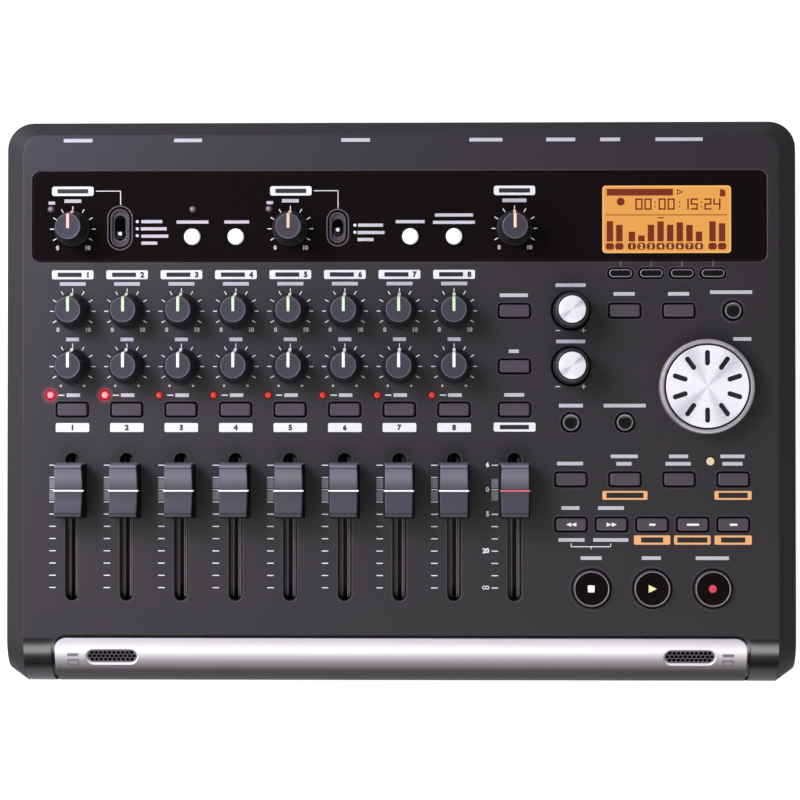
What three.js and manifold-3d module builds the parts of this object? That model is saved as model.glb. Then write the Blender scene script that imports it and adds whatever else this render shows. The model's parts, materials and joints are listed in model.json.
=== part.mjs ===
// A desktop eight-track recorder: a sloping deck of knobs, faders and keys in a two-piece case,
// with its boards and sockets.
// Millimetres, +Z up, the front along -Y. The origin is on the floor under the middle of the case.
import * as THREE from "three";
import { mergeVertices } from "three/addons/utils/BufferGeometryUtils.js";
import Module from "manifold-3d";

const wasm = await Module();
wasm.setup();

// Case
const slopeDegrees = 4; // the deck rises to the rear
const frontHeight = 32.5; // height of the deck where the front roll starts
const rollRadius = 16.6;
const chamferWidth = 6.6; // side chamfer of the deck, seen from above
const rearChamferWidth = 5;
const chamferDepth = 4.8;
const deckCornerRadius = 6.5;
const caseCornerRadius = 9.8;
const wall = 2.4;
const deckThickness = 2.4;
const lowChamfer = 3;
const footHeight = 2.5;
const footRadius = 8;
const footInset = 24; // from the case's sides to a foot's middle
const partingShare = 0.277; // height of the seam between the covers, as a share of the front height
const gap = 0.3; // running gap between neighbours
const mitreShare = 0.4; // a mitred edge moves in by this share of what its faces move in
const cornerSteps = 6; // steps round a quarter turn of a case corner
const rollSteps = 10; // steps round the front roll
const overrun = 1; // how far a cut runs past what it cuts
const mergeDistance = 0.001;
const roundSides = 16;
const holeSides = 12;
const hiddenSides = 8;
const meshHoleSides = 4;
const nutSides = 6;
const arcSteps = 3; // steps round a rounded outline's corners

// Layout along the deck, from its left edge to its right edge
const leftMargin = 18.2;
const trackCount = 8;
const trackPitch = 20;
const masterPitch = 22.1;
const firstColumnPitch = 20.6;
const columnCount = 4;
const columnPitch = 19.7;
const rightMargin = 16.8;

// Layout up the deck, from the start of the front roll to its rear edge
const slotMargin = 13.8;
const recRowGap = 16.1;
const panRowGap = 15.8;
const knobRowPitch = 20.3;
const softRowGap = 13.7;
const panelGap = 4.8;
const panelDepth = 32.4;
const rearMargin = 13.8;

// Rows of the right side, each measured down from the row behind it
const wheelRowGap = 27.8;
const tunerRowGap = 13;
const locateRowGap = 20.8;
const windRowGap = 16.5;
const transportRowGap = 23.4;
const transportPitch = 22.1;

// Faders
const faderTickPitch = 4.48;
const faderTickSteps = 10;
const faderRestSteps = 2; // steps below the top of the travel
const capLength = 20.4;
const capWidth = 11.2;
const capBottom = 2.4; // above the deck
const capHeight = 10.4;
const capDish = 2.3;
const capDishSteps = 6;
const capDraft = 0.65; // each side draws in by this much to the top
const capEndDraft = 1.1;
const leverThickness = 1.2;
const leverRise = 3.5; // into the cap
const leverLength = 6;
const leverDepth = 8.4; // below the deck's upper face
const slotWidth = 4.6;
const slotEndRoom = 1.5;
const faderBodyWidth = 8;
const faderBodyEnd = 5.5; // body past the slot at each end
const faderBodyTop = 4.6; // below the deck's upper face

// Knobs on potentiometers
const knobRadius = 6.5;
const knobTopRadius = 4.5;
const knobSkirt = 1.7;
const knobHeight = 12.4;
const knobLift = 0.6; // gap under the knob
const knobSides = 12;
const pointerWidth = 1.1;
const pointerRise = 0.3;
const shaftRadius = 3;
const shaftRise = 9;
const shaftHoleRadius = 4;
const potWidth = 10;
const potTop = 4.6; // below the deck's upper face

// Equaliser knobs and data wheel
const eqRadius = 6.6;
const eqCapRadius = 5.1;
const eqHeight = 12.5;
const eqRim = 0.9;
const eqSides = 16;
const wheelRadius = 17.3;
const wheelDiscRadius = 15.2;
const wheelHeight = 6.2;
const wheelRim = 1.3;
const wheelGroove = 0.42; // round the disc
const wheelSides = 28;
const wheelSlotCount = 10;
const wheelSlotInner = 7.6;
const wheelSlotOuter = 13.2;
const wheelSlotWidth = 1.5;
const wheelSlotDepth = 0.9;
const wheelShaftRise = 3.6;

// Keys
const keyLength = 11.3;
const keyDepth = 4.8;
const keyRise = 1.3;
const keyGap = 0.5; // round a key in its hole
const keyTravel = 0.8;
const keyCrown = 0.35;
const webThickness = 1.6;
const webMargin = 1.4; // web past a key's edge
const softKeyLength = 9;
const softKeyDepth = 3.5;
const softKeyPitch = 11.25;
const roundKeyRadius = 3.1;
const panelKeyPitch = 16;
const switchSize = 6;
const transportRadius = 6.6;
const transportRise = 2.1;
const transportDome = 0.5;
const transportRingRadius = 8.1;
const transportRingRise = 0.35;
const transportTravel = 1;

// Gloss panel, display and slide switches
const panelLeftMargin = 3.8;
const panelRightMargin = 4.8;
const panelThickness = 1;
const panelCornerRadius = 2.5;
const panelKnobRow = 11.7; // from the panel's front edge
const panelSwitchRow = 12.1;
const panelKeyRow = 8.8;
const switchFromKnob = 17.4;
const lcdWidth = 47;
const lcdDepth = 24.7;
const lcdMargin = 17.4; // from the deck's right edge
const lcdRowCentre = 14.95; // from the panel's front edge
const lcdFrame = 3.6;
const lcdThickness = 5.4;
const lcdPegRadius = 1.5;
const wellLengths = [16.9, 14.2];
const wellWidths = [9.9, 8.8];
const switchTravels = [5.2, 2.5];
const tipLength = 3.2;
const tipWidth = 3.4;
const tipDrop = 0.5; // below the deck's upper face
const tipLeverWidth = 1.6;
const tipLeverDepth = 8.6;
const slideBodyTop = 6.2;
const slideBodyLength = 12;
const slideBodyWidth = 7;

// Front strip and microphones
const stripEndMargin = 11.6; // from the deck's side edges
const stripThickness = 1.2;
const stripGap = 0.9;
const stripCornerRadius = 4.3;
const stripAboveSeam = 2;
const micEndMargin = 20.95; // from the strip's end to a grille's middle
const micAlongRoll = 7.1; // from the deck's front edge
const micLength = 18.8;
const micDepth = 5.7;
const micFlange = 1.2;
const micPlate = 0.8;
const micSink = 0.9;
const micHoleRadius = 0.75;
const micHolePitch = 2.7;
const micRowPitch = 1.8;
const micHoleRows = 3;
const micHoleCount = 6;
const capsuleRadius = 2.6;
const capsuleLength = 3.6;

// Boards
const boardThickness = 1.6;
const boardDepth = 11; // control board's upper face below the deck's
const boardSideMargin = 10; // from the deck's side edges
const boardFrontMargin = 5;
const jackBoardRise = 2.3; // above the case floor
const jackBoardDepth = 70;
const standoffRadius = 2;
const postRadius = 3.2;
const postInset = 4.2; // from the deck's side edges
const frontPostRow = 27.9;
const screwRadius = 1.6;
const screwHeadRadius = 3;
const screwHeadDepth = 1.2;

// Rear sockets, each placed from the one on its left as seen from the front
const remoteMargin = 19.7;
const inputAPitch = 40.9;
const inputBPitch = 61.6;
const lineOutPitch = 47.6;
const phonesPitch = 27.4;
const powerInPitch = 18.2;
const powerButtonPitch = 25.3;
const recessEnd = 10;
const recessDepth = 8;
const recessHalfHeight = 12.5;
const recessSill = 3; // above the seam
const balancedRadius = 11.6;
const balancedFromLabel = 11.5;
const balancedGrooveInner = 7.7;
const balancedGrooveOuter = 9.5;
const balancedGrooveDepth = 9;
const balancedPinRadius = 1.3;
const balancedPinCircle = 3.6;
const balancedDepth = 18.5;
const jackFromLabel = 14;
const jackBarrelRadius = 5.5;
const jackNutRadius = 6.4;
const jackNutRise = 1.6;
const jackHoleRadius = 3.2;
const jackHoleDepth = 18;
const jackBodyWidth = 15;
const jackBodyDepth = 19;
const linePairPitch = 15;
const lineBarrelRadius = 4.2;
const lineBarrelRise = 7.4;
const linePinRadius = 1.7;
const lineCollarRadius = 5.4;
const lineCollarRise = 0.8;
const lineBodyDepth = 12;
const smallBarrelRadius = 3.6;
const smallHoleRadius = 1.8;
const smallHoleDepth = 10;
const smallBodyWidth = 8.7;
const smallBodyDepth = 9.5;
const powerInHoleRadius = 3.1;
const powerInPinRadius = 1;
const powerKeyLength = 11;
const powerKeyHeight = 5.4;
const powerKeyRise = 2;
const powerKeyTravel = 1.2;
const powerKeyFlange = 1.5;

// Card door in the right side
const doorLength = 27;
const doorHeight = 8.6;
const doorThickness = 1.6;
const doorFromRear = 78;
const doorSill = 1.4; // above the seam
const cardSlotLength = 24.4;
const cardSlotHeight = 2.4;
const cardBodyDepth = 26;
const cardBodyHeight = 5;

// Places on the deck worked out from the layout
const slope = THREE.MathUtils.degToRad(slopeDegrees);
const sine = Math.sin(slope);
const cosine = Math.cos(slope);
const tracksWidth = (trackCount - 1) * trackPitch;
const columnsWidth = (columnCount - 1) * columnPitch;
const deckWidth = leftMargin + tracksWidth + masterPitch + firstColumnPitch + columnsWidth + rightMargin;
const deckHalf = deckWidth / 2;
const trackX = (i) => leftMargin - deckHalf + i * trackPitch;
const middleTrack = Math.floor(trackCount / 2);
const masterX = trackX(trackCount - 1) + masterPitch;
const columnX = (i) => masterX + firstColumnPitch + i * columnPitch;
const lastColumn = columnCount - 1;
const columnsMiddle = (columnX(0) + columnX(lastColumn)) / 2;
const wheelX = (columnX(lastColumn - 1) + columnX(lastColumn)) / 2;
const lcdX = deckHalf - lcdMargin - lcdWidth / 2;

const faderTravel = faderTickPitch * faderTickSteps;
const slotLength = faderTravel + leverLength + 2 * slotEndRoom;
const slotRow = slotMargin + slotLength / 2;
const faderRestRow = slotRow + faderTravel / 2 - faderRestSteps * faderTickPitch;
const recRow = slotMargin + slotLength + recRowGap;
const panRow = recRow + panRowGap;
const reverbRow = panRow + knobRowPitch;
const softRow = reverbRow + softRowGap;
const panelFront = softRow + panelGap;
const deckDepth = panelFront + panelDepth + rearMargin;
const wheelRow = reverbRow - wheelRowGap;
const tunerRow = wheelRow - tunerRowGap;
const locateRow = tunerRow - locateRowGap;
const windRow = locateRow - windRowGap;
const transportRow = windRow - transportRowGap;
const panelKnobs = panelFront + panelKnobRow;
const panelKeys = panelFront + panelKeyRow;
const lcdRow = panelFront + lcdRowCentre;
const webTop = -deckThickness - gap;

// The case in side view: the deck plane, the roll's axis and the rear wall
const rollAxis = { y: rollRadius * sine, z: frontHeight - rollRadius * cosine };
const shoulderHalf = deckHalf + chamferWidth;
const rearY = (deckDepth + rearChamferWidth) * cosine + chamferDepth * sine;
const frontY = rollAxis.y - rollRadius;
const floorTop = footHeight + wall;
const partingHeight = frontHeight * partingShare;
const stripLowEdge = partingHeight + stripAboveSeam;
const socketHeight = partingHeight + recessSill + recessHalfHeight;
const deckPoint = (x, y, z) =>
  new THREE.Vector3(x, y * cosine - z * sine, frontHeight + y * sine + z * cosine);

// Solids made from three.js geometry

function solid(geometry) {
  const bare = new THREE.BufferGeometry();
  bare.setAttribute("position", geometry.getAttribute("position"));
  bare.setIndex(geometry.index);
  const merged = mergeVertices(bare, mergeDistance);
  return new wasm.Manifold(
    new wasm.Mesh({
      numProp: 3,
      vertProperties: merged.attributes.position.array,
      triVerts: new Uint32Array(merged.index.array),
    }),
  );
}

const join = (...solids) => solids.reduce((whole, next) => whole.add(next));
const cut = (body, ...cutters) => cutters.reduce((rest, next) => rest.subtract(next), body);

function block(x, y, z) {
  const geometry = new THREE.BoxGeometry(x[1] - x[0], y[1] - y[0], z[1] - z[0]);
  geometry.translate((x[0] + x[1]) / 2, (y[0] + y[1]) / 2, (z[0] + z[1]) / 2);
  return solid(geometry);
}

const around = (middle, length) => [middle - length / 2, middle + length / 2];

// A round post along Z.
function post(x, y, z, radius, sides = holeSides) {
  const geometry = new THREE.CylinderGeometry(radius, radius, z[1] - z[0], sides);
  geometry.rotateX(Math.PI / 2);
  geometry.translate(x, y, (z[0] + z[1]) / 2);
  return solid(geometry);
}

// A round post along Y.
function rod(x, y, z, radius, sides = holeSides) {
  const geometry = new THREE.CylinderGeometry(radius, radius, y[1] - y[0], sides);
  geometry.translate(x, (y[0] + y[1]) / 2, z);
  return solid(geometry);
}

// A plate whose outline lies in X and Y.
function plate(shape, z, curveSegments = arcSteps) {
  const geometry = new THREE.ExtrudeGeometry(shape, {
    depth: z[1] - z[0],
    bevelEnabled: false,
    curveSegments,
  });
  geometry.translate(0, 0, z[0]);
  return solid(geometry);
}

// A bar along X whose section is given as [y, z] points.
function barAlongX(points, x) {
  const shape = new THREE.Shape(points.map(([y, z]) => new THREE.Vector2(y, z)));
  const geometry = new THREE.ExtrudeGeometry(shape, { depth: x[1] - x[0], bevelEnabled: false });
  geometry.translate(0, 0, x[0]);
  const turn = new THREE.Matrix4();
  turn.makeBasis(new THREE.Vector3(0, 1, 0), new THREE.Vector3(0, 0, 1), new THREE.Vector3(1, 0, 0));
  geometry.applyMatrix4(turn);
  return geometry;
}

// A body turned about Z from [radius, height] points that run from its lower middle to its upper middle.
function turned(points, sides) {
  const profile = points.map(([radius, height]) => new THREE.Vector2(radius, height));
  const geometry = new THREE.LatheGeometry(profile, sides);
  geometry.rotateX(Math.PI / 2);
  return solid(geometry);
}

function roundedRectangle(x, y, radius) {
  const shape = new THREE.Shape();
  shape.moveTo(x[0] + radius, y[0]);
  shape.lineTo(x[1] - radius, y[0]);
  shape.absarc(x[1] - radius, y[0] + radius, radius, -Math.PI / 2, 0);
  shape.lineTo(x[1], y[1] - radius);
  shape.absarc(x[1] - radius, y[1] - radius, radius, 0, Math.PI / 2);
  shape.lineTo(x[0] + radius, y[1]);
  shape.absarc(x[0] + radius, y[1] - radius, radius, Math.PI / 2, Math.PI);
  shape.lineTo(x[0], y[0] + radius);
  shape.absarc(x[0] + radius, y[0] + radius, radius, Math.PI, (3 * Math.PI) / 2);
  return shape;
}

// A rounded slot of full width and length about x, y.
function pill(x, y, length, width, z, segments = arcSteps) {
  const end = Math.min(length, width) / 2;
  return plate(roundedRectangle(around(x, length), around(y, width), end), z, segments);
}

// A skin through rings of equal length, closed by a flat cap on the first and the last ring.
function lofted(rings, flat) {
  const count = rings[0].length;
  const points = rings.flat().flatMap((p) => [p.x, p.y, p.z]);
  const index = [];
  for (let r = 0; r + 1 < rings.length; r++) {
    for (let i = 0; i < count; i++) {
      const next = (i + 1) % count;
      const a = r * count + i;
      const b = r * count + next;
      index.push(a, b, b + count, a, b + count, a + count);
    }
  }
  const cap = (ring, offset, flip) => {
    for (const [a, b, c] of THREE.ShapeUtils.triangulateShape(ring.map(flat), [])) {
      index.push(offset + a, offset + (flip ? c : b), offset + (flip ? b : c));
    }
  };
  cap(rings[0], 0, true);
  cap(rings[rings.length - 1], (rings.length - 1) * count, false);
  const geometry = new THREE.BufferGeometry();
  geometry.setAttribute("position", new THREE.Float32BufferAttribute(points, 3));
  geometry.setIndex(index);
  return solid(geometry);
}

// A plan outline, anticlockwise, with square front corners and round rear corners.
function planOutline(half, front, rear, radius) {
  const points = [new THREE.Vector2(-half, front), new THREE.Vector2(half, front)];
  for (let side = 0; side < 2; side++) {
    for (let i = 0; i <= cornerSteps; i++) {
      const angle = ((side + i / cornerSteps) * Math.PI) / 2;
      const middle = side ? radius - half : half - radius;
      points.push(
        new THREE.Vector2(middle + radius * Math.cos(angle), rear - radius + radius * Math.sin(angle)),
      );
    }
  }
  return points;
}

// The case's side walls, rear wall and chamfered deck, moved in by inset.
function wallsAndDeck(inset) {
  const reach = -rollRadius - chamferWidth - overrun;
  const edge = inset * mitreShare;
  const upright = (half, rear, z, radius) =>
    planOutline(half, reach, rear, radius).map((p) => new THREE.Vector3(p.x, p.y, z));
  const shoulderRear = deckDepth + rearChamferWidth - inset;
  const shoulder = planOutline(shoulderHalf - inset, reach, shoulderRear, caseCornerRadius - inset).map(
    (p) => deckPoint(p.x, p.y, -chamferDepth - edge),
  );
  const deck = planOutline(deckHalf - edge, reach, deckDepth - edge, deckCornerRadius - edge).map((p) =>
    deckPoint(p.x, p.y, -inset),
  );
  const lowHalf = shoulderHalf - inset;
  const low = upright(lowHalf, rearY - inset, footHeight + lowChamfer + edge, caseCornerRadius - inset);
  const floor = upright(
    lowHalf - lowChamfer + edge,
    rearY - inset - lowChamfer + edge,
    footHeight + inset,
    caseCornerRadius - inset,
  );
  return lofted([floor, low, shoulder, deck], (p) => new THREE.Vector2(p.x, p.y));
}

// The side view of the roll and the front wall, moved in by inset, with room above the deck.
function frontProfile(inset, x) {
  const room = chamferDepth + overrun;
  const far = deckDepth + rearChamferWidth + room;
  const radius = rollRadius - inset;
  const front = rollAxis.y - radius;
  const drop = lowChamfer + overrun;
  const points = [deckPoint(x, far, room), deckPoint(x, 0, room), deckPoint(x, 0, -inset)];
  for (let i = 1; i <= rollSteps; i++) {
    const angle = slope + (i / rollSteps) * (Math.PI / 2 - slope);
    points.push(
      new THREE.Vector3(x, rollAxis.y - radius * Math.sin(angle), rollAxis.z + radius * Math.cos(angle)),
    );
  }
  points.push(new THREE.Vector3(x, front, footHeight + lowChamfer));
  points.push(new THREE.Vector3(x, front + drop, footHeight - overrun));
  points.push(new THREE.Vector3(x, rearY + room, footHeight - overrun));
  return points;
}

// The case's front, drawn in at both sides by the chamfer.
function frontAndFloor(inset) {
  const edge = deckHalf - inset * mitreShare;
  const reach = shoulderHalf + overrun;
  const side = inset + (chamferDepth * (reach - deckHalf)) / chamferWidth;
  const rings = [
    frontProfile(side, -reach),
    frontProfile(inset, -edge),
    frontProfile(inset, edge),
    frontProfile(side, reach),
  ];
  return lofted(rings, (p) => new THREE.Vector2(p.y, p.z));
}

const caseSolid = (inset) => wallsAndDeck(inset).intersect(frontAndFloor(inset));

// Moves a solid made on the level deck to its place on the sloping deck.
function onDeck(made) {
  return made.rotate([slopeDegrees, 0, 0]).translate([0, 0, frontHeight]);
}

const wholeWidth = [-shoulderHalf - overrun, shoulderHalf + overrun];
const wholeDepth = [frontY - overrun, rearY + overrun];

// Places of the controls

const tracks = Array.from({ length: trackCount }, (_, i) => i);
const columns = Array.from({ length: columnCount }, (_, i) => i);
const knobPlaces = [
  ...tracks.map((i) => ({ name: `reverb_knob_${i + 1}`, x: trackX(i), y: reverbRow })),
  ...tracks.map((i) => ({ name: `pan_knob_${i + 1}`, x: trackX(i), y: panRow })),
  { name: "trim_knob_a", x: trackX(0), y: panelKnobs, inPanel: true },
  { name: "trim_knob_b", x: trackX(middleTrack), y: panelKnobs, inPanel: true },
  { name: "phones_knob", x: masterX, y: panelKnobs, inPanel: true },
];
const eqPlaces = [
  { name: "eq_high_knob", x: columnX(0), y: reverbRow },
  { name: "eq_low_knob", x: columnX(0), y: panRow },
];
const shaftPlaces = [
  ...[...knobPlaces, ...eqPlaces].map((place) => ({ ...place, rise: shaftRise })),
  { x: wheelX, y: wheelRow, rise: wheelShaftRise },
];
const faderPlaces = [
  ...tracks.map((i) => ({ name: `fader_${i + 1}`, x: trackX(i) })),
  { name: "master_fader", x: masterX },
];
const slidePlaces = [
  { name: "input_a_switch", x: trackX(0) + switchFromKnob },
  { name: "input_b_switch", x: trackX(middleTrack) + switchFromKnob },
].map((place, i) => ({
  ...place,
  y: panelFront + panelSwitchRow,
  travel: switchTravels[i],
  wellLength: wellLengths[i],
  wellWidth: wellWidths[i],
}));

const bar = (x, y) => ({ x, y, length: keyLength, width: keyDepth });
const soft = (x, y) => ({ x, y, length: softKeyLength, width: softKeyDepth, round: true });
const disc = (x, y) => ({ x, y, length: 2 * roundKeyRadius, width: 2 * roundKeyRadius, round: true });
const windSteps = columnCount;
const windPitch = columnsWidth / windSteps;
const keyRows = {
  input_keys: [
    disc(trackX(middleTrack - 1) - panelKeyPitch, panelKeys),
    disc(trackX(middleTrack - 1), panelKeys),
  ],
  mix_keys: [
    disc(trackX(trackCount - 1) - panelKeyPitch, panelKeys),
    disc(trackX(trackCount - 1), panelKeys),
  ],
  record_keys: tracks.map((i) => bar(trackX(i), recRow)),
  channel_keys: [recRow, panRow, reverbRow].map((y) => bar(masterX, y)),
  display_keys: columns.map((i) => soft(lcdX + (i - lastColumn / 2) * softKeyPitch, softRow)),
  menu_keys: [bar(columnX(1), reverbRow), bar(columnX(2), reverbRow), disc(columnX(3), reverbRow)],
  tuner_keys: [disc(columnX(0), tunerRow), disc(columnX(1), tunerRow)],
  locate_keys: columns.map((i) => bar(columnX(i), locateRow)),
  wind_keys: Array.from({ length: windSteps + 1 }, (_, i) => bar(columnX(0) + i * windPitch, windRow)),
};
const transportPlaces = ["stop_button", "play_button", "record_button"].map((name, i) => ({
  name,
  x: columnsMiddle + (i - 1) * transportPitch,
  y: transportRow,
}));

// Places of the rear sockets
const remoteX = remoteMargin - deckHalf;
const inputAX = remoteX + inputAPitch;
const inputBX = inputAX + inputBPitch;
const lineOutX = inputBX + lineOutPitch;
const phonesX = lineOutX + phonesPitch;
const powerInX = phonesX + powerInPitch;
const powerButtonX = powerInX + powerButtonPitch;
const recessX = [remoteX - recessEnd, powerButtonX + recessEnd];
const recessZ = [socketHeight - recessHalfHeight, socketHeight + recessHalfHeight];
const recessFace = rearY - recessDepth;
const recessBack = recessFace - wall;
const jackBoardTop = floorTop + jackBoardRise + boardThickness;

// Card door
const doorY = around(rearY - doorFromRear, doorLength);
const doorLow = partingHeight + doorSill;
const doorZ = [doorLow, doorLow + doorHeight];

// Covers

function keyHole(key, z, room) {
  const length = key.length + 2 * room;
  const width = key.width + 2 * room;
  if (key.round) {
    return pill(key.x, key.y, length, width, z);
  }
  return block(around(key.x, length), around(key.y, width), z);
}

function deckCutters() {
  const through = [-deckThickness - overrun, overrun];
  const cutters = shaftPlaces.map(({ x, y }) => post(x, y, through, shaftHoleRadius, hiddenSides));
  for (const { x } of faderPlaces) {
    cutters.push(pill(x, slotRow, slotWidth, slotLength, through));
  }
  for (const key of Object.values(keyRows).flat()) {
    cutters.push(keyHole(key, through, keyGap));
  }
  for (const { x, y } of transportPlaces) {
    cutters.push(post(x, y, through, transportRadius + keyGap, roundSides));
  }
  for (const { x, y, travel } of slidePlaces) {
    const slot = tipLength + travel + 2 * gap;
    cutters.push(block(around(x, tipWidth + 2 * gap), around(y, slot), through));
  }
  const window = [around(lcdX, lcdWidth + 2 * gap), around(lcdRow, lcdDepth + 2 * gap)];
  cutters.push(block(window[0], window[1], through));
  const recess = [-panelThickness - gap, overrun];
  cutters.push(plate(panelShape(gap), recess));
  return onDeck(join(...cutters));
}

function panelShape(room) {
  return roundedRectangle(
    [panelLeftMargin - deckHalf - room, deckHalf - panelRightMargin + room],
    [panelFront - room, panelFront + panelDepth + room],
    panelCornerRadius + room,
  );
}

// The band that the front strip fills, between two depths under the roll.
function stripBand(outer, inner, lowEdge) {
  const profile = (depth) => {
    const radius = rollRadius - depth;
    const points = [];
    for (let i = 0; i <= rollSteps; i++) {
      const angle = slope + (i / rollSteps) * (Math.PI / 2 - slope);
      points.push([rollAxis.y - radius * Math.sin(angle), rollAxis.z + radius * Math.cos(angle)]);
    }
    points.push([rollAxis.y - radius, lowEdge]);
    return points;
  };
  const section = [...profile(outer), ...profile(inner).reverse()];
  return solid(barAlongX(section, wholeWidth));
}

// The strip's outline seen square to the deck, grown by room.
function stripShape(room) {
  const half = deckHalf - stripEndMargin + room;
  const reach = -rollRadius - chamferWidth - overrun - stripCornerRadius;
  const shape = roundedRectangle([-half, half], [reach - stripCornerRadius, room], stripCornerRadius + room);
  return onDeck(plate(shape, [-frontHeight, rollRadius]));
}

const micAngle = slope + Math.asin(micAlongRoll / rollRadius);

// Moves a solid made on a level face to a microphone's place on the roll.
function onRoll(made, side) {
  return made
    .rotate([THREE.MathUtils.radToDeg(micAngle), 0, 0])
    .translate([
      side * (deckHalf - stripEndMargin - micEndMargin),
      rollAxis.y - rollRadius * Math.sin(micAngle),
      rollAxis.z + rollRadius * Math.cos(micAngle),
    ]);
}

const knobsMiddle = (panRow + reverbRow) / 2;
const masterMiddle = (masterX + columnX(0)) / 2;
const standoffPlaces = [
  [trackX(0) + trackPitch / 2, knobsMiddle],
  [trackX(trackCount - 1) - trackPitch / 2, knobsMiddle],
  [trackX(middleTrack) - trackPitch / 2, slotRow],
  [masterMiddle, slotRow],
  [masterMiddle, knobsMiddle],
  [columnX(lastColumn), (locateRow + windRow) / 2],
];
const postPlaces = [-1, 1].flatMap((side) =>
  [frontPostRow, recRow, panelFront].map((y) => [side * (deckHalf - postInset), y]),
);

function topCover() {
  const upper = block(wholeWidth, wholeDepth, [partingHeight + gap / 2, frontHeight + rearY]);
  const recess = block(recessX, [recessFace, rearY + overrun], recessZ);
  const recessWalls = block(
    [recessX[0] - wall, recessX[1] + wall],
    [recessBack, rearY + overrun],
    [recessZ[0] - wall, recessZ[1] + wall],
  );
  const shell = cut(caseSolid(0), cut(caseSolid(wall), recessWalls), recess).intersect(upper);
  const fixings = [];
  for (const [x, y] of postPlaces) {
    const top = frontHeight + y * Math.tan(slope) - deckThickness / 2;
    fixings.push(post(x, y, [floorTop + gap, top], postRadius, hiddenSides));
  }
  const standoffZ = [gap - boardDepth, -deckThickness / 2];
  for (const [x, y] of standoffPlaces) {
    fixings.push(onDeck(post(x, y, standoffZ, standoffRadius, hiddenSides)));
  }
  const rings = transportPlaces.map(({ x, y }) =>
    onDeck(post(x, y, [-deckThickness / 2, transportRingRise], transportRingRadius, roundSides)),
  );
  const micRoom = 2 * (micFlange + gap);
  const micThrough = [-wall - stripThickness - overrun, overrun];
  const micHole = pill(0, 0, micLength + micRoom, micDepth + micRoom, micThrough);
  const doorHole = block(
    [shoulderHalf - wall - overrun, shoulderHalf + overrun],
    around(rearY - doorFromRear, doorLength + 2 * gap),
    [doorZ[0] - gap, doorZ[1] + gap],
  );
  const stripBed = stripBand(-overrun, stripThickness + gap, stripLowEdge - stripGap);
  return cut(
    join(shell, ...fixings, ...rings),
    deckCutters(),
    stripBed.intersect(stripShape(stripGap)),
    onRoll(micHole, -1),
    onRoll(micHole, 1),
    ...socketHoles(),
    doorHole,
  );
}

function socketHoles() {
  const through = [recessBack - overrun, recessFace + overrun];
  const hole = (x, radius, sides) => rod(x, through, socketHeight, radius + gap, sides);
  return [
    hole(remoteX, smallBarrelRadius),
    ...[inputAX, inputBX].flatMap((x) => [
      hole(x - balancedFromLabel, balancedRadius, 2 * holeSides),
      hole(x + jackFromLabel, jackBarrelRadius),
    ]),
    ...[-1, 1].map((side) => hole(lineOutX + (side * linePairPitch) / 2, lineCollarRadius)),
    hole(phonesX, jackBarrelRadius),
    hole(powerInX, smallBarrelRadius),
    block(
      around(powerButtonX, powerKeyLength + 2 * gap),
      through,
      around(socketHeight, powerKeyHeight + 2 * gap),
    ),
  ];
}

const feetPlaces = [-1, 1].flatMap((side) => [
  [side * (shoulderHalf - footInset), frontY + footInset],
  [side * (shoulderHalf - footInset), rearY - footInset],
]);
const jackBoardY = [recessBack - gap - jackBoardDepth, recessBack - gap];
const jackPostPlaces = [-1, 1].flatMap((side) =>
  [jackBoardY[0] + 2 * postRadius, jackBoardY[1] - 2 * postRadius].map((y) => [
    side * (deckHalf - boardSideMargin - 2 * postRadius),
    y,
  ]),
);

function bottomCover() {
  const lower = block(wholeWidth, wholeDepth, [0, partingHeight - gap / 2]);
  const shell = cut(caseSolid(0), caseSolid(wall)).intersect(lower);
  const feet = feetPlaces.map(([x, y]) => post(x, y, [0, footHeight + wall / 2], footRadius, roundSides));
  const supports = jackPostPlaces.map(([x, y]) =>
    post(x, y, [floorTop - wall / 2, floorTop + jackBoardRise - gap], postRadius, hiddenSides),
  );
  const screws = postPlaces.flatMap(([x, y]) => [
    post(x, y, [0, floorTop + overrun], screwRadius, hiddenSides),
    post(x, y, [0, footHeight + screwHeadDepth], screwHeadRadius, hiddenSides),
  ]);
  return cut(join(shell, ...feet, ...supports), ...screws);
}

function glossPanel() {
  const z = [-panelThickness, 0];
  const through = [-panelThickness - overrun, overrun];
  const cutters = knobPlaces
    .filter((k) => k.inPanel)
    .map(({ x, y }) => post(x, y, through, shaftHoleRadius, hiddenSides));
  for (const key of [...keyRows.input_keys, ...keyRows.mix_keys]) {
    cutters.push(keyHole(key, through, keyGap));
  }
  for (const { x, y, wellLength, wellWidth } of slidePlaces) {
    cutters.push(pill(x, y, wellWidth, wellLength, through));
  }
  return cut(plate(panelShape(0), z), ...cutters);
}

function frontStrip() {
  const holes = [-1, 1].map((side) =>
    onRoll(
      pill(0, 0, micLength + 2 * gap, micDepth + 2 * gap, [-stripThickness - overrun, overrun]),
      side,
    ),
  );
  return cut(stripBand(0, stripThickness, stripLowEdge).intersect(stripShape(0)), ...holes);
}

// A mesh pill on a flange, with the microphone's capsule behind it.
function micGrille(side) {
  const top = -micSink;
  const flangeTop = -stripThickness - micSink;
  const flange = pill(
    0,
    0,
    micLength + 2 * micFlange,
    micDepth + 2 * micFlange,
    [flangeTop - micPlate, flangeTop],
  );
  const mesh = pill(0, 0, micLength, micDepth, [flangeTop - micPlate / 2, top]);
  const capsuleZ = [flangeTop - capsuleLength, flangeTop - micPlate / 2];
  const capsule = post(0, 0, capsuleZ, capsuleRadius, hiddenSides);
  const holes = [];
  for (let row = 0; row < micHoleRows; row++) {
    const shift = row % 2 ? 0 : 1;
    for (let i = shift; i < micHoleCount; i++) {
      const x = (i - (micHoleCount - 1) / 2 - shift / 2) * micHolePitch;
      const y = (row - (micHoleRows - 1) / 2) * micRowPitch;
      holes.push(post(x, y, [top - micPlate, top + overrun], micHoleRadius, meshHoleSides));
    }
  }
  return onRoll(cut(join(flange, mesh, capsule), ...holes), side);
}

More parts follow.
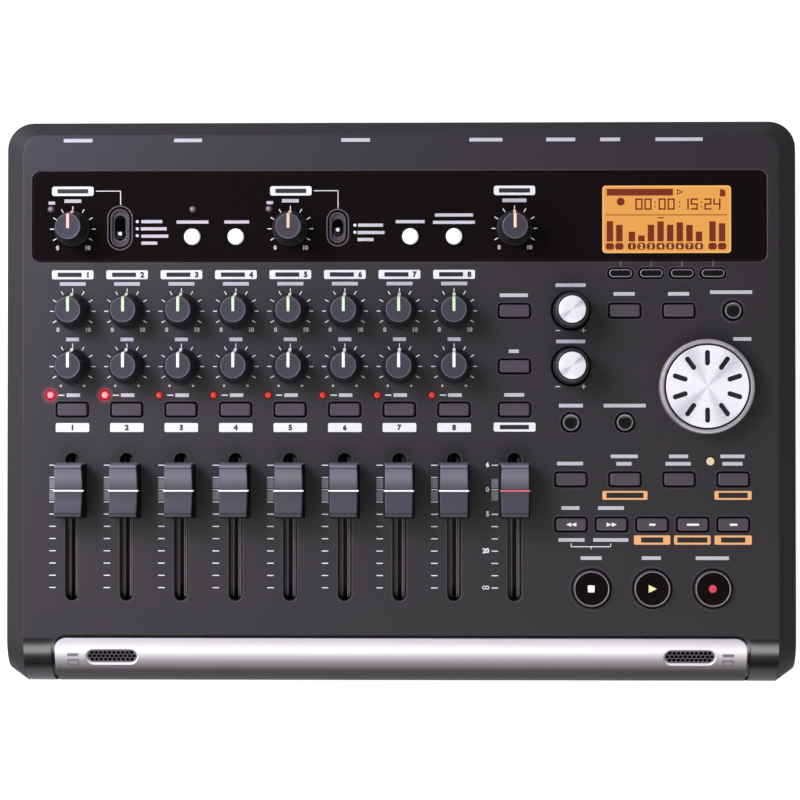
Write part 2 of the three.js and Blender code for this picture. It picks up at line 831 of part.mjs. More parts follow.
// Controls, each made with the deck's face at height zero and its own place at x, y

function knob() {
  const top = knobLift + knobHeight;
  const bore = shaftRadius + gap;
  const body = turned(
    [
      [0, shaftRise + gap],
      [bore, shaftRise + gap],
      [bore, knobLift],
      [knobRadius, knobLift],
      [knobRadius, knobLift + knobSkirt],
      [(knobRadius + knobTopRadius) / 2 + pointerRise / 2, knobLift + 2 * knobSkirt],
      [knobTopRadius + pointerRise, top - pointerRise],
      [knobTopRadius, top],
      [0, top],
    ],
    knobSides,
  );
  const pointer = block(
    around(0, pointerWidth),
    [0, knobTopRadius + pointerRise],
    [top - knobSkirt, top + pointerRise],
  );
  return join(body, pointer);
}

function eqKnob() {
  const top = knobLift + eqHeight;
  const bore = shaftRadius + gap;
  return turned(
    [
      [0, shaftRise + gap],
      [bore, shaftRise + gap],
      [bore, knobLift],
      [eqRadius, knobLift],
      [eqRadius - eqRim / 2, top - eqRim],
      [eqCapRadius + eqRim / 2, top - eqRim],
      [eqCapRadius, top],
      [0, top],
    ],
    eqSides,
  );
}

function dataWheel() {
  const top = knobLift + wheelHeight;
  const bore = shaftRadius + gap;
  const disc = turned(
    [
      [0, wheelShaftRise + gap],
      [bore, wheelShaftRise + gap],
      [bore, knobLift],
      [wheelRadius, knobLift],
      [wheelRadius, top - wheelRim],
      [wheelDiscRadius + wheelGroove, top - wheelGroove],
      [wheelDiscRadius + wheelGroove, top - 2 * wheelGroove],
      [wheelDiscRadius, top - 2 * wheelGroove],
      [wheelDiscRadius, top],
      [0, top],
    ],
    wheelSides,
  );
  const middle = (wheelSlotInner + wheelSlotOuter) / 2;
  const slotLong = wheelSlotOuter - wheelSlotInner;
  const slot = pill(0, middle, wheelSlotWidth, slotLong, [top - wheelSlotDepth, top + overrun], 1);
  const step = 360 / wheelSlotCount;
  const slots = Array.from({ length: wheelSlotCount }, (_, i) => slot.rotate([0, 0, i * step]));
  return cut(disc, ...slots);
}

// The cap's upper face is dished along its length, and its sides draw in to the top.
function fader() {
  const top = capBottom + capHeight;
  const half = capLength / 2;
  const section = [
    [-half, capBottom],
    [half, capBottom],
  ];
  for (let i = 0; i <= capDishSteps; i++) {
    const along = 1 - (2 * i) / capDishSteps;
    const dish = capDish * (1 - along * along);
    section.push([along * (half - capEndDraft), top - dish]);
  }
  const geometry = barAlongX(section, around(0, capWidth));
  const position = geometry.getAttribute("position");
  for (let i = 0; i < position.count; i++) {
    const rise = (position.getZ(i) - capBottom) / capHeight;
    position.setX(i, position.getX(i) * (1 - (2 * capDraft * rise) / capWidth));
  }
  const lever = block(
    around(0, leverThickness),
    around(0, leverLength),
    [-leverDepth, capBottom + leverRise],
  );
  return join(solid(geometry), lever);
}

// A row of keys on the web that joins them under the deck.
function keyStrip(keys, origin) {
  const xs = keys.flatMap((k) => around(k.x - origin.x, k.length));
  const ys = keys.flatMap((k) => around(k.y - origin.y, k.width));
  const span = (values) => [Math.min(...values) - webMargin, Math.max(...values) + webMargin];
  const web = block(span(xs), span(ys), [webTop - webThickness, webTop]);
  const caps = keys.map((k) => {
    const place = { ...k, x: k.x - origin.x, y: k.y - origin.y };
    const sunk = webTop - webThickness / 2;
    if (k.round) {
      return keyHole(place, [sunk, keyRise], 0);
    }
    return join(keyHole(place, [sunk, keyRise - keyCrown], 0), keyHole(place, [0, keyRise], -keyCrown));
  });
  return join(web, ...caps);
}

function transportButton() {
  return turned(
    [
      [0, webTop - webThickness],
      [transportRadius + keyGap + webMargin, webTop - webThickness],
      [transportRadius + keyGap + webMargin, webTop],
      [transportRadius, webTop],
      [transportRadius, transportRise - transportDome],
      [transportRadius - transportDome, transportRise],
      [0, transportRise],
    ],
    roundSides,
  );
}

// A slide switch's tip at the front end of its travel, with the lever that enters the switch.
function slideTip(travel) {
  const y = -travel / 2;
  return join(
    block(around(0, tipWidth), around(y, tipLength), [-slideBodyTop + gap, -tipDrop]),
    block(around(0, tipLeverWidth), around(y, tipLeverWidth), [-tipLeverDepth, -tipDrop - overrun]),
  );
}

// Boards

function controlBoard() {
  const face = -boardDepth;
  const half = deckHalf - boardSideMargin;
  const rear = panelKnobs + potWidth / 2 + overrun;
  const pieces = [block([-half, half], [boardFrontMargin, rear], [face - boardThickness, face])];
  const sunk = face - boardThickness / 2;
  for (const { x, y, rise } of shaftPlaces) {
    pieces.push(block(around(x, potWidth), around(y, potWidth), [sunk, -potTop]));
    pieces.push(post(x, y, [-potTop - overrun, rise], shaftRadius, hiddenSides));
  }
  const slit = [leverThickness + 2 * gap, slotLength];
  for (const { x } of faderPlaces) {
    const body = block(
      around(x, faderBodyWidth),
      around(slotRow, slotLength + 2 * faderBodyEnd),
      [sunk, -faderBodyTop],
    );
    const way = block(around(x, slit[0]), around(slotRow, slit[1]), [-leverDepth - gap, 0]);
    pieces.push(cut(body, way));
  }
  for (const key of Object.values(keyRows).flat()) {
    const top = webTop - webThickness - keyTravel - gap;
    pieces.push(block(around(key.x, switchSize), around(key.y, switchSize), [sunk, top]));
  }
  for (const { x, y } of transportPlaces) {
    const top = webTop - webThickness - transportTravel - gap;
    pieces.push(block(around(x, switchSize), around(y, switchSize), [sunk, top]));
  }
  for (const { x, y, travel } of slidePlaces) {
    const body = block(around(x, slideBodyWidth), around(y, slideBodyLength), [sunk, -slideBodyTop]);
    const way = block(
      around(x, tipLeverWidth + 2 * gap),
      around(y, tipLeverWidth + travel + 2 * gap),
      [-tipLeverDepth - gap, 0],
    );
    pieces.push(cut(body, way));
  }
  return onDeck(join(...pieces));
}

function lcdModule() {
  const z = [webTop - lcdThickness, webTop];
  const glassZ = [webTop - overrun, -panelThickness - gap];
  const glass = block(around(lcdX, lcdWidth), around(lcdRow, lcdDepth), glassZ);
  const frame = block(
    around(lcdX, lcdWidth + 2 * lcdFrame),
    around(lcdRow, lcdDepth + 2 * lcdFrame),
    z,
  );
  const pegY = [lcdRow - lcdDepth / 2 + lcdPegRadius, panelKnobs];
  const pegs = [-1, 1].flatMap((side) =>
    pegY.map((y) =>
      post(lcdX + (side * lcdWidth) / 2, y, [gap - boardDepth, z[0] + overrun], lcdPegRadius, hiddenSides),
    ),
  );
  return onDeck(join(frame, glass, ...pegs));
}

// A threaded barrel and nut for a 6.3 mm plug, with its body behind the wall.
function jackSocket(x) {
  const body = block(
    around(x, jackBodyWidth),
    [recessBack - gap - jackBodyDepth, recessBack - gap],
    [jackBoardTop + gap, socketHeight + jackBodyWidth / 2],
  );
  const barrel = rod(x, [recessBack - overrun, recessFace + jackNutRise], socketHeight, jackBarrelRadius);
  const mouth = recessFace + jackNutRise;
  const nut = rod(x, [recessFace + gap, mouth - gap], socketHeight, jackNutRadius, nutSides);
  const hole = rod(x, [mouth - jackHoleDepth, mouth + overrun], socketHeight, jackHoleRadius);
  return cut(join(body, barrel, nut), hole);
}

// A round three-pin socket and a 6.3 mm jack on one bracket.
function inputSockets(x) {
  const left = x - balancedFromLabel;
  const side = balancedRadius + gap;
  const body = block(
    [left - side, left + side],
    [recessBack - gap - balancedDepth, recessBack - gap],
    [jackBoardTop + gap, socketHeight + side],
  );
  const barrelY = [recessBack - overrun, recessFace + gap];
  const barrel = rod(left, barrelY, socketHeight, balancedRadius, 2 * holeSides);
  const bracket = block(
    [left, x + jackFromLabel - jackBodyWidth / 2 + overrun],
    [recessBack - gap - wall, recessBack - gap],
    [jackBoardTop + gap, socketHeight],
  );
  const holeY = [barrelY[1] - balancedGrooveDepth, barrelY[1] + overrun];
  const groove = cut(
    rod(left, holeY, socketHeight, balancedGrooveOuter, roundSides),
    rod(left, holeY, socketHeight, balancedGrooveInner, roundSides),
  );
  const pins = [0, 1, 2].map((i) => {
    const angle = (i * 2 * Math.PI) / 3 - Math.PI / 2;
    return rod(
      left + balancedPinCircle * Math.cos(angle),
      holeY,
      socketHeight + balancedPinCircle * Math.sin(angle),
      balancedPinRadius,
      hiddenSides,
    );
  });
  return cut(join(body, barrel, bracket, jackSocket(x + jackFromLabel)), groove, ...pins);
}

function lineOutSockets() {
  const half = linePairPitch / 2 + lineCollarRadius;
  const body = block(
    [lineOutX - half, lineOutX + half],
    [recessBack - gap - lineBodyDepth, recessBack - gap],
    [jackBoardTop + gap, socketHeight + lineCollarRadius],
  );
  const sockets = [-1, 1].map((side) => lineOutX + (side * linePairPitch) / 2);
  const barrels = sockets.flatMap((x) => [
    rod(x, [recessBack - overrun, recessFace + lineBarrelRise], socketHeight, lineBarrelRadius),
    rod(x, [recessBack - overrun, recessFace + lineCollarRise], socketHeight, lineCollarRadius),
  ]);
  const holes = sockets.map((x) =>
    rod(x, [recessBack, recessFace + lineBarrelRise + overrun], socketHeight, linePinRadius, hiddenSides),
  );
  return cut(join(body, ...barrels), ...holes);
}

// The remote socket, the power socket, the power switch and the card slot on their board.
function jackBoard() {
  const half = deckHalf - boardSideMargin;
  const z = [jackBoardTop - boardThickness, jackBoardTop];
  const sunk = jackBoardTop - boardThickness / 2;
  const board = block([-half, half], jackBoardY, z);
  const smallBodyY = [recessBack - gap - smallBodyDepth, recessBack - gap];
  const smallBodyZ = [sunk, socketHeight + smallBodyWidth / 2];
  const smallSocket = (x) =>
    join(
      block(around(x, smallBodyWidth), smallBodyY, smallBodyZ),
      rod(x, [recessBack - overrun, recessFace + gap], socketHeight, smallBarrelRadius),
    );
  const face = recessFace + gap;
  const remote = cut(
    smallSocket(remoteX),
    rod(remoteX, [face - smallHoleDepth, face + overrun], socketHeight, smallHoleRadius, hiddenSides),
  );
  const powerIn = join(
    cut(
      smallSocket(powerInX),
      rod(powerInX, [face - smallHoleDepth, face + overrun], socketHeight, powerInHoleRadius),
    ),
    rod(powerInX, [face - smallHoleDepth - overrun, face - gap], socketHeight, powerInPinRadius, hiddenSides),
  );
  const keyBack = recessBack - gap - powerKeyFlange - powerKeyTravel - gap;
  const powerSwitch = block(
    around(powerButtonX, switchSize),
    [keyBack - switchSize, keyBack],
    [sunk, socketHeight + switchSize / 2],
  );
  const cardX = [half - cardBodyDepth, shoulderHalf - wall - gap];
  const cardY = rearY - doorFromRear;
  const cardTop = doorZ[0] + cardBodyHeight;
  const cardBody = block(cardX, around(cardY, cardSlotLength + 2 * wall), [sunk, cardTop]);
  const cardMouth = block(
    [cardX[0] + wall, cardX[1] + overrun],
    around(cardY, cardSlotLength),
    around((doorZ[0] + cardTop) / 2, cardSlotHeight),
  );
  return cut(join(board, remote, powerIn, powerSwitch, cardBody), cardMouth);
}

function powerButton() {
  const flangeY = [recessBack - gap - powerKeyFlange, recessBack - gap];
  return join(
    block(
      around(powerButtonX, powerKeyLength),
      [flangeY[0], recessFace + powerKeyRise],
      around(socketHeight, powerKeyHeight),
    ),
    block(
      around(powerButtonX, powerKeyLength + 2 * powerKeyFlange),
      flangeY,
      around(socketHeight, powerKeyHeight + 2 * powerKeyFlange),
    ),
  );
}

// The card door swings out about its lower edge, which is rounded about the hinge axis.
function cardDoor() {
  const radius = doorThickness / 2;
  const section = [];
  for (let i = 0; i <= 2 * cornerSteps; i++) {
    const angle = Math.PI + (i / (2 * cornerSteps)) * Math.PI;
    section.push([radius * Math.cos(angle), radius * Math.sin(angle)]);
  }
  section.push([radius, doorHeight - radius], [-radius, doorHeight - radius]);
  const shape = new THREE.Shape(section.map(([x, z]) => new THREE.Vector2(x, z)));
  const geometry = new THREE.ExtrudeGeometry(shape, { depth: doorLength, bevelEnabled: false });
  geometry.rotateX(Math.PI / 2);
  geometry.translate(0, doorLength / 2, 0);
  return solid(geometry);
}

// The recorder, built as a group of named meshes

function material(color, roughness, metalness) {
  return new THREE.MeshStandardMaterial({ color, roughness, metalness });
}

const recorder = new THREE.Group();
const deck = new THREE.Group();
deck.position.set(0, -(frontY + rearY) / 2, frontHeight);
deck.rotation.x = slope;
const chassis = new THREE.Group();
chassis.position.y = -(frontY + rearY) / 2;
recorder.add(deck, chassis);

function addMesh(group, name, made, look, place = [0, 0, 0]) {
  const mesh = made.getMesh();
  const geometry = new THREE.BufferGeometry();
  geometry.setAttribute("position", new THREE.BufferAttribute(mesh.vertProperties, 3));
  geometry.setIndex(new THREE.BufferAttribute(mesh.triVerts, 1));
  const node = new THREE.Mesh(geometry, look);
  node.name = name;
  node.position.set(...place);
  group.add(node);
}

addMesh(chassis, "top_cover", topCover(), material(0x4a464e, 0.6, 0));
addMesh(chassis, "bottom_cover", bottomCover(), material(0x2c2a2d, 0.7, 0));
addMesh(chassis, "front_strip", frontStrip(), material(0xd8d4d6, 0.3, 0.9));
addMesh(chassis, "mic_grille_left", micGrille(-1), material(0x3a3840, 0.5, 0.6));
addMesh(chassis, "mic_grille_right", micGrille(1), material(0x3a3840, 0.5, 0.6));
addMesh(chassis, "control_board", controlBoard(), material(0x1f5a35, 0.6, 0));
addMesh(chassis, "lcd_module", lcdModule(), material(0xf0a83c, 0.4, 0));
addMesh(chassis, "jack_board", jackBoard(), material(0x1f5a35, 0.6, 0));
addMesh(chassis, "input_a_sockets", inputSockets(inputAX), material(0x1b1b1d, 0.5, 0));
addMesh(chassis, "input_b_sockets", inputSockets(inputBX), material(0x1b1b1d, 0.5, 0));
addMesh(chassis, "line_out_sockets", lineOutSockets(), material(0xc9b37a, 0.3, 0.9));
addMesh(chassis, "phones_jack", jackSocket(phonesX), material(0x1b1b1d, 0.5, 0));
addMesh(chassis, "power_button", powerButton(), material(0x2a2a2c, 0.5, 0));
addMesh(chassis, "card_door", cardDoor(), material(0x2c2a2d, 0.6, 0), [
  shoulderHalf - doorThickness / 2,
  rearY - doorFromRear,
  doorZ[0] + doorThickness / 2,
]);
addMesh(deck, "gloss_panel", glossPanel(), material(0x120f0f, 0.08, 0));

for (const { name, x, y } of knobPlaces) {
  addMesh(deck, name, knob(), material(0x5c5a64, 0.5, 0), [x, y, 0]);
}
for (const { name, x, y } of eqPlaces) {
  addMesh(deck, name, eqKnob(), material(0xe0dee2, 0.25, 0.95), [x, y, 0]);
}
addMesh(deck, "data_wheel", dataWheel(), material(0xd8d5da, 0.25, 0.95), [wheelX, wheelRow, 0]);
for (const { name, x } of faderPlaces) {
  addMesh(deck, name, fader(), material(0x6e6c76, 0.5, 0), [x, faderRestRow, 0]);
}
for (const [name, keys] of Object.entries(keyRows)) {
  const inPanel = name === "input_keys" || name === "mix_keys";
  const look = inPanel ? material(0xf2f1ee, 0.4, 0) : material(0x66626c, 0.5, 0);
  const origin = keys[0];
  addMesh(deck, name, keyStrip(keys, origin), look, [origin.x, origin.y, 0]);
}
for (const { name, x, y } of transportPlaces) {
  addMesh(deck, name, transportButton(), material(0x151213, 0.15, 0), [x, y, 0]);
}
for (const { name, x, y, travel } of slidePlaces) {
  addMesh(deck, name, slideTip(travel), material(0x8a8890, 0.4, 0), [x, y, 0]);
}

export default recorder;
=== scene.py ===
"""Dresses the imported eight-track recorder with fine surfaces, finishes, print, lamps, light and camera."""
import json
import bpy
import bmesh
import numpy as np
from mathutils import Matrix, Vector
from mathutils.geometry import tessellate_polygon


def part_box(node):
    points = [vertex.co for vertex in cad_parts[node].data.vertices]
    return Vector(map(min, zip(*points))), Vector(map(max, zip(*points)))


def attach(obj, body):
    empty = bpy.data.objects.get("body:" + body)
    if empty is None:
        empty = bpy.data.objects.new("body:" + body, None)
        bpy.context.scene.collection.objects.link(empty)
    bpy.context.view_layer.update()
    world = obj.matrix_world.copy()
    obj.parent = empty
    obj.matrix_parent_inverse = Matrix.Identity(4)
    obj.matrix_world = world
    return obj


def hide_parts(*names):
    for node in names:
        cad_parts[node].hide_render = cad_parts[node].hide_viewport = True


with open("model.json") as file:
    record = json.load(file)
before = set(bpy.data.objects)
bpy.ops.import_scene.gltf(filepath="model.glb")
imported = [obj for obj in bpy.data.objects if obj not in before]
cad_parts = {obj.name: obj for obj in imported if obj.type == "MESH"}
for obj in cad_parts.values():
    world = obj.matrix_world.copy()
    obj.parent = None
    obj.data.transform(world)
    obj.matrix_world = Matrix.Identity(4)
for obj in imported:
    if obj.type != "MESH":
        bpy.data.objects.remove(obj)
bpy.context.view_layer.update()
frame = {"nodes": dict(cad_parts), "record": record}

# Sizes are in millimetres in the deck's own axes:
# x to the right, y up the deck from the front roll and z off the deck.
MM = 0.001
SLOPE = np.radians(4)
DECK_HALF = 138.4
DECK_DEPTH = 184.5
DECK_THICKNESS = 2.4
DECK_CORNER = 6.5
CHAMFER = (6.6, 5.0, 4.8)  # sideways, to the rear and down
CASE_CORNER = 9.8
ROLL = 16.6
SEAM = 9.15  # height of the cover's lower edge above the floor
TRACKS = -120.2 + 20.0 * np.arange(8)
MASTER = 41.9
COLUMNS = 62.5 + 19.7 * np.arange(4)
WINDS = 62.5 + 14.775 * np.arange(5)
TRANSPORTS = 92.05 + 22.1 * np.arange(-1, 2)
SOFTS = 97.5 + 11.25 * (np.arange(4) - 1.5)
WHEEL = (111.75, 92.0)
LCD = (97.5, 153.25)
LCD_SIZE = (47.0, 24.7)
# Rows, by their height up the deck
TRANSPORT_ROW, SLOT_ROW, WIND_ROW, LOCATE_ROW, TUNER_ROW = 18.3, 40.7, 41.7, 58.2, 79.0
REC_ROW, PAN_ROW, REVERB_ROW, SOFT_ROW = 83.7, 99.5, 119.8, 133.5
PANEL_KEY_ROW, PANEL_KNOB_ROW, SWITCH_ROW = 147.1, 150.0, 150.4
PANEL = np.array([(-134.6, 138.3), (133.6, 170.7)])  # the gloss panel's front left and rear right corners
PANEL_CORNER = 2.5
PANEL_KEYS = (TRACKS[3] - 16, TRACKS[3], TRACKS[7] - 16, TRACKS[7])
FADER_ROW = 54.14
SLOT_SIZE = (4.7, 53.8)
KEY_SIZE = (10.9, 4.5)
KEY_HOLE = (11.9, 5.5)
KEY_CORNER = 1.1
KEY_FOOT = -2.2  # lower face of the keys' caps
WEB = (-4.3, -2.7)  # lower and upper face of the webs that join the keys of a row
KEY_SIGN = (1.2, 1.28)  # lower and upper face of a sign on a key
BUTTON_SIGN = (1.45, 1.56)  # and on a transport button
SOFT_SIZE = (8.5, 3.1)
SOFT_HOLE = (9.3, 3.9)
EQ_RECESS, SHAFT_HOLE, ROUND_HOLE, TRANSPORT_HOLE = 7.15, 4.0, 3.6, 7.1  # radii
RIM = 0.4  # rounding of a hole's edge
STRIP = (126.8, 4.3, 1.15)  # half length, corner radius and the gap round it
STRIP_BED = 1.5  # how deep the strip's bed lies under the roll
STRIP_BACK = 1.3  # and the strip's own back
STRIP_EDGE = [(0.0, 1.2), (0.0, 0.3), (0.06, 0.12), (0.16, 0.03), (0.35, 0.0)]  # in from its edge and down
MIC = (105.85, 7.1)  # a microphone's middle, beside the deck's middle and before the deck's front edge
MIC_SIZE = (18.8, 5.7)
MIC_CUT = ((1.6, 1.2), (0.62, 0.1), (0.5, 0.0), (0.3, -0.3), (0.3, -2.6))  # room round it and height
MESH_PITCH = 1.62
MESH_HOLE = 0.79
MESH_ROWS = 0.866  # rows of the mesh lie this share of its pitch apart
LAMP_SHIFT = 8.1  # from a track's middle to its record lamp, to the left

# The photograph's scale and middle, for what is measured in its pixels
PX = 2.7325  # pixels to a millimetre of the deck
PHOTO_SIZE = 800
PHOTO_MIDDLE = (400.5, 400.1)
MIDDLE_ROW = 87.2  # how far up the deck the photograph's middle lies
LAMP_ROW = 395  # the record lamps' row, in its pixels
HALO = 3.7  # radius of the light about a lit lamp, in millimetres
INK = 0.03  # thickness of a print
UNDER = 0.025  # and of a print that others may lie over

# The deck's frame, from the joint of the first pan knob
record = frame["record"]
joints = {joint["name"]: joint for joint in record["behaviour"]["joints"]}
NORMAL = np.array([0, -np.sin(SLOPE), np.cos(SLOPE)])
UP = np.array([0, np.cos(SLOPE), np.sin(SLOPE)])
RIGHT = np.array([1.0, 0, 0])
pan_knob = np.array(joints["pan_knob_1_turn"]["pos_m"]) / MM
ORIGIN = pan_knob - TRACKS[0] * RIGHT - PAN_ROW * UP


def on_deck(points):
    """Deck millimetres to the frame's metres: the deck's origin plus x along it, y up it and z off it."""
    return (ORIGIN + np.asarray(points, float) @ np.array([RIGHT, UP, NORMAL])) * MM


def on_floor(points):
    """The frame's own millimetres to metres."""
    return np.asarray(points, float) * MM


# Surfaces. A surface is a pair: an array of points and a list of faces.


def gather(*surfaces):
    """One surface of several, with their points one after another and their faces renumbered."""
    points, faces, count = [], [], 0
    for some_points, some_faces in surfaces:
        points.append(some_points)
        faces += [tuple(i + count for i in face) for face in some_faces]
        count += len(some_points)
    return np.concatenate(points), faces


def sheet(grid, closed=False):
    """A skin of quads over a grid of points; a closed one joins each row's last point to its first."""
    grid = np.asarray(grid, float)
    rows, columns = grid.shape[:2]
    row = np.arange(rows - 1)[:, None] * columns
    here = np.arange(columns if closed else columns - 1)[None, :]
    there = (here + 1) % columns
    corners = [row + here, row + there, row + columns + there, row + columns + here]
    quads = np.stack(corners, -1).reshape(-1, 4)
    return grid.reshape(-1, 3), [tuple(quad) for quad in quads.tolist()]


def at_height(outline, height):
    """The points of a flat outline, all at one height."""
    return np.column_stack([outline, np.full(len(outline), height)])


def capped(rings):
    """A closed skin over rings of points, with a flat face over the first and the last."""
    ends = [(np.asarray(ring), [tuple(range(len(ring)))]) for ring in (rings[0], rings[-1])]
    return gather(sheet(rings, closed=True), *ends)


def moved(surface, x, y=0.0, turn=0.0):
    """A surface turned about Z by turn radians and then moved by x, y."""
    points, faces = surface
    cos, sin = np.cos(turn), np.sin(turn)
    return points @ np.array([[cos, sin, 0], [-sin, cos, 0], [0, 0, 1]]) + np.array([x, y, 0.0]), faces


def lathe(profile, sides, ripple=None):
    """A profile of [radius, height] points carried round Z; ripple(angle, row) adds to the radius."""
    profile = np.asarray(profile, float)
    angle = np.linspace(0, 2 * np.pi, sides, endpoint=False)
    radius = np.repeat(profile[:, :1], sides, 1)
    if ripple is not None:
        radius = radius + ripple(angle[None, :], np.arange(len(profile))[:, None])
    height = np.repeat(profile[:, 1:], sides, 1)
    grid = np.stack([radius * np.cos(angle), radius * np.sin(angle), height], -1)
    return sheet(grid, closed=True)


def arc(centre, radius, start, end, steps):
    """Points on a circle's arc from start to end, in degrees."""
    angle = np.radians(np.linspace(start, end, steps + 1))
    return np.stack([centre[0] + radius * np.cos(angle), centre[1] + radius * np.sin(angle)], -1)


def circle(x, y, radius, sides=48):
    """A circle's points, anticlockwise."""
    return arc((x, y), radius, 0, 360, sides)[:-1]


def rounded(x, y, length, width, radius, steps=6):
    """A rectangle about x, y whose corners are quarter circles, anticlockwise."""
    side, end = length / 2 - radius, width / 2 - radius
    quarters = [((x + side, y + end), 0), ((x - side, y + end), 90),
                ((x - side, y - end), 180), ((x + side, y - end), 270)]
    return np.concatenate([arc(middle, radius, start, start + 90, steps) for middle, start in quarters])


def pill(x, y, length, width, steps=10):
    """A rectangle with half-round ends."""
    return rounded(x, y, length, width, min(length, width) / 2 - 1e-4, steps)


def wider(shape, x, y, size, room, *rest):
    """A pill or rounded rectangle about x, y, grown by room on every side."""
    return shape(x, y, size[0] + 2 * room, size[1] + 2 * room, *rest)


def between(corners, radius, steps, room=0.0):
    """A rounded rectangle between two corners, grown by room on every side."""
    low, high = corners
    return wider(rounded, *(low + high) / 2, high - low, room, radius, steps)


def area_of(outline):
    """The signed area of an outline, positive when it runs anticlockwise."""
    x, y = outline[:, 0], outline[:, 1]
    return 0.5 * np.sum(x * np.roll(y, -1) - y * np.roll(x, -1))


def inset(outline, distance):
    """Each point moves to its left along the bisector of its edges, so that both edges move by distance.

    The point of a very sharp corner moves less.
    """
    ahead = np.roll(outline, -1, 0) - outline
    ahead /= np.linalg.norm(ahead, axis=1, keepdims=True)
    behind = np.roll(ahead, 1, 0)
    left = np.stack([-ahead[:, 1] - behind[:, 1], ahead[:, 0] + behind[:, 0]], -1)
    left /= np.linalg.norm(left, axis=1, keepdims=True)
    share = np.abs(-ahead[:, 1] * left[:, 0] + ahead[:, 0] * left[:, 1])
    return outline + left * (distance / np.maximum(share, 0.3))[:, None]


def directed(outlines):
    """The first outline runs anticlockwise and the holes in it clockwise."""
    signs = [1] + [-1] * (len(outlines) - 1)
    return [line if area_of(line) * sign > 0 else line[::-1] for line, sign in zip(outlines, signs)]


def slab(outlines, low, high, edge=0.0, steps=3):
    """A plate between two heights whose first outline is its rim and the others are holes.

    Its walls are rings: a quarter round at the top, of one radius or of one for each outline,
    then straight down. Both faces are the tessellated outlines.
    """
    outlines = directed([np.asarray(outline, float) for outline in outlines])
    edges = edge if isinstance(edge, list) else [edge] * len(outlines)
    surfaces, top, bottom = [], [], []
    for outline, radius in zip(outlines, edges):
        turn = np.radians(np.linspace(90, 0, steps + 1)) if radius else np.array([np.pi / 2])
        levels = [(radius * (1 - np.cos(t)), high - radius * (1 - np.sin(t))) for t in turn] + [(0.0, low)]
        rings = [at_height(inset(outline, distance) if distance else outline, z) for distance, z in levels]
        surfaces.append(sheet(np.array(rings), closed=True))
        top.append(rings[0])
        bottom.append(rings[-1])
    for face in (top, bottom):
        triangles = tessellate_polygon([[Vector(point) for point in ring] for ring in face])
        surfaces.append((np.concatenate(face), list(triangles)))
    return gather(*surfaces)


def text_slab(body, x, y, height, low, high, fat=0.05):
    """Plain figures, centred on x, y, as a thin slab; fat widens their strokes."""
    data = bpy.data.curves.new("figures", "FONT")
    data.body = body
    data.resolution_u = 3
    data.extrude = (high - low) / 2
    data.offset = fat
    holder = bpy.data.objects.new("figures", data)
    bpy.context.collection.objects.link(holder)
    mesh = holder.evaluated_get(bpy.context.evaluated_depsgraph_get()).to_mesh()
    points = np.empty(len(mesh.vertices) * 3)
    mesh.vertices.foreach_get("co", points)
    points = points.reshape(-1, 3)
    faces = [tuple(polygon.vertices) for polygon in mesh.polygons]
    bpy.data.objects.remove(holder)
    bpy.data.curves.remove(data)
    least, most = points.min(0), points.max(0)
    scale = height / (most[1] - least[1])
    middle = np.array([x, y, (low + high) / 2])
    return (points - (least + most) / 2) * [scale, scale, 1.0] + middle, faces


# Objects


def spin_of(points):
    """Where each point lies about the surface's middle, as shares of the furthest point's distance."""
    flat = points[:, :2] - (points[:, :2].min(0) + points[:, :2].max(0)) / 2
    share = flat / np.linalg.norm(flat, axis=1).max()
    return at_height(share, 0.0)


def build(name, parts, body, place=on_deck, replaces=(), smooth=35, spin=False):
    """Makes one object of (surface, material) parts: closes its seams, turns its faces out, shades it."""
    materials = []
    mesh = bpy.data.meshes.new(name)
    bm = bmesh.new()
    spun = bm.verts.layers.float_vector.new("spin") if spin else None
    for (points, faces), material in parts:
        if material not in materials:
            materials.append(material)
        look = materials.index(material)
        verts = [bm.verts.new(point) for point in place(points)]
        if spin:
            for vert, value in zip(verts, spin_of(points)):
                vert[spun] = value
        for face in faces:
            if len(set(face)) < 3:
                continue
            try:
                bm.faces.new([verts[i] for i in face]).material_index = look
            except ValueError:
                pass  # a face that is there already
    bmesh.ops.remove_doubles(bm, verts=bm.verts, dist=2e-6)
    bmesh.ops.dissolve_degenerate(bm, edges=bm.edges, dist=1e-7)
    bmesh.ops.recalc_face_normals(bm, faces=bm.faces)
    bm.to_mesh(mesh)
    bm.free()
    mesh.polygons.foreach_set("use_smooth", [True] * len(mesh.polygons))
    mesh.set_sharp_from_angle(angle=np.radians(smooth))
    for material in materials:
        mesh.materials.append(material)
    piece = bpy.data.objects.new(name, mesh)
    bpy.context.collection.objects.link(piece)
    even_normals(piece)
    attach(piece, body)
    if replaces:
        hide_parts(*replaces)
    return piece


def even_normals(piece):
    """Weights each point's normal by the size of its faces, so that flat faces stay evenly shaded."""
    weighted = piece.modifiers.new("even_normals", "WEIGHTED_NORMAL")
    weighted.keep_sharp = True
    weighted.weight = 90


# Finishes


def linear(red, green, blue):
    """A screen colour of 0 to 255 as the linear values that a shader takes."""
    value = np.array([red, green, blue]) / 255
    return (*np.where(value <= 0.04045, value / 12.92, ((value + 0.055) / 1.055) ** 2.4), 1.0)


def shade(colour, factor):
    """A colour times one factor, or times one each for its red, green and blue."""
    return (*(np.array(colour[:3]) * factor), 1.0)


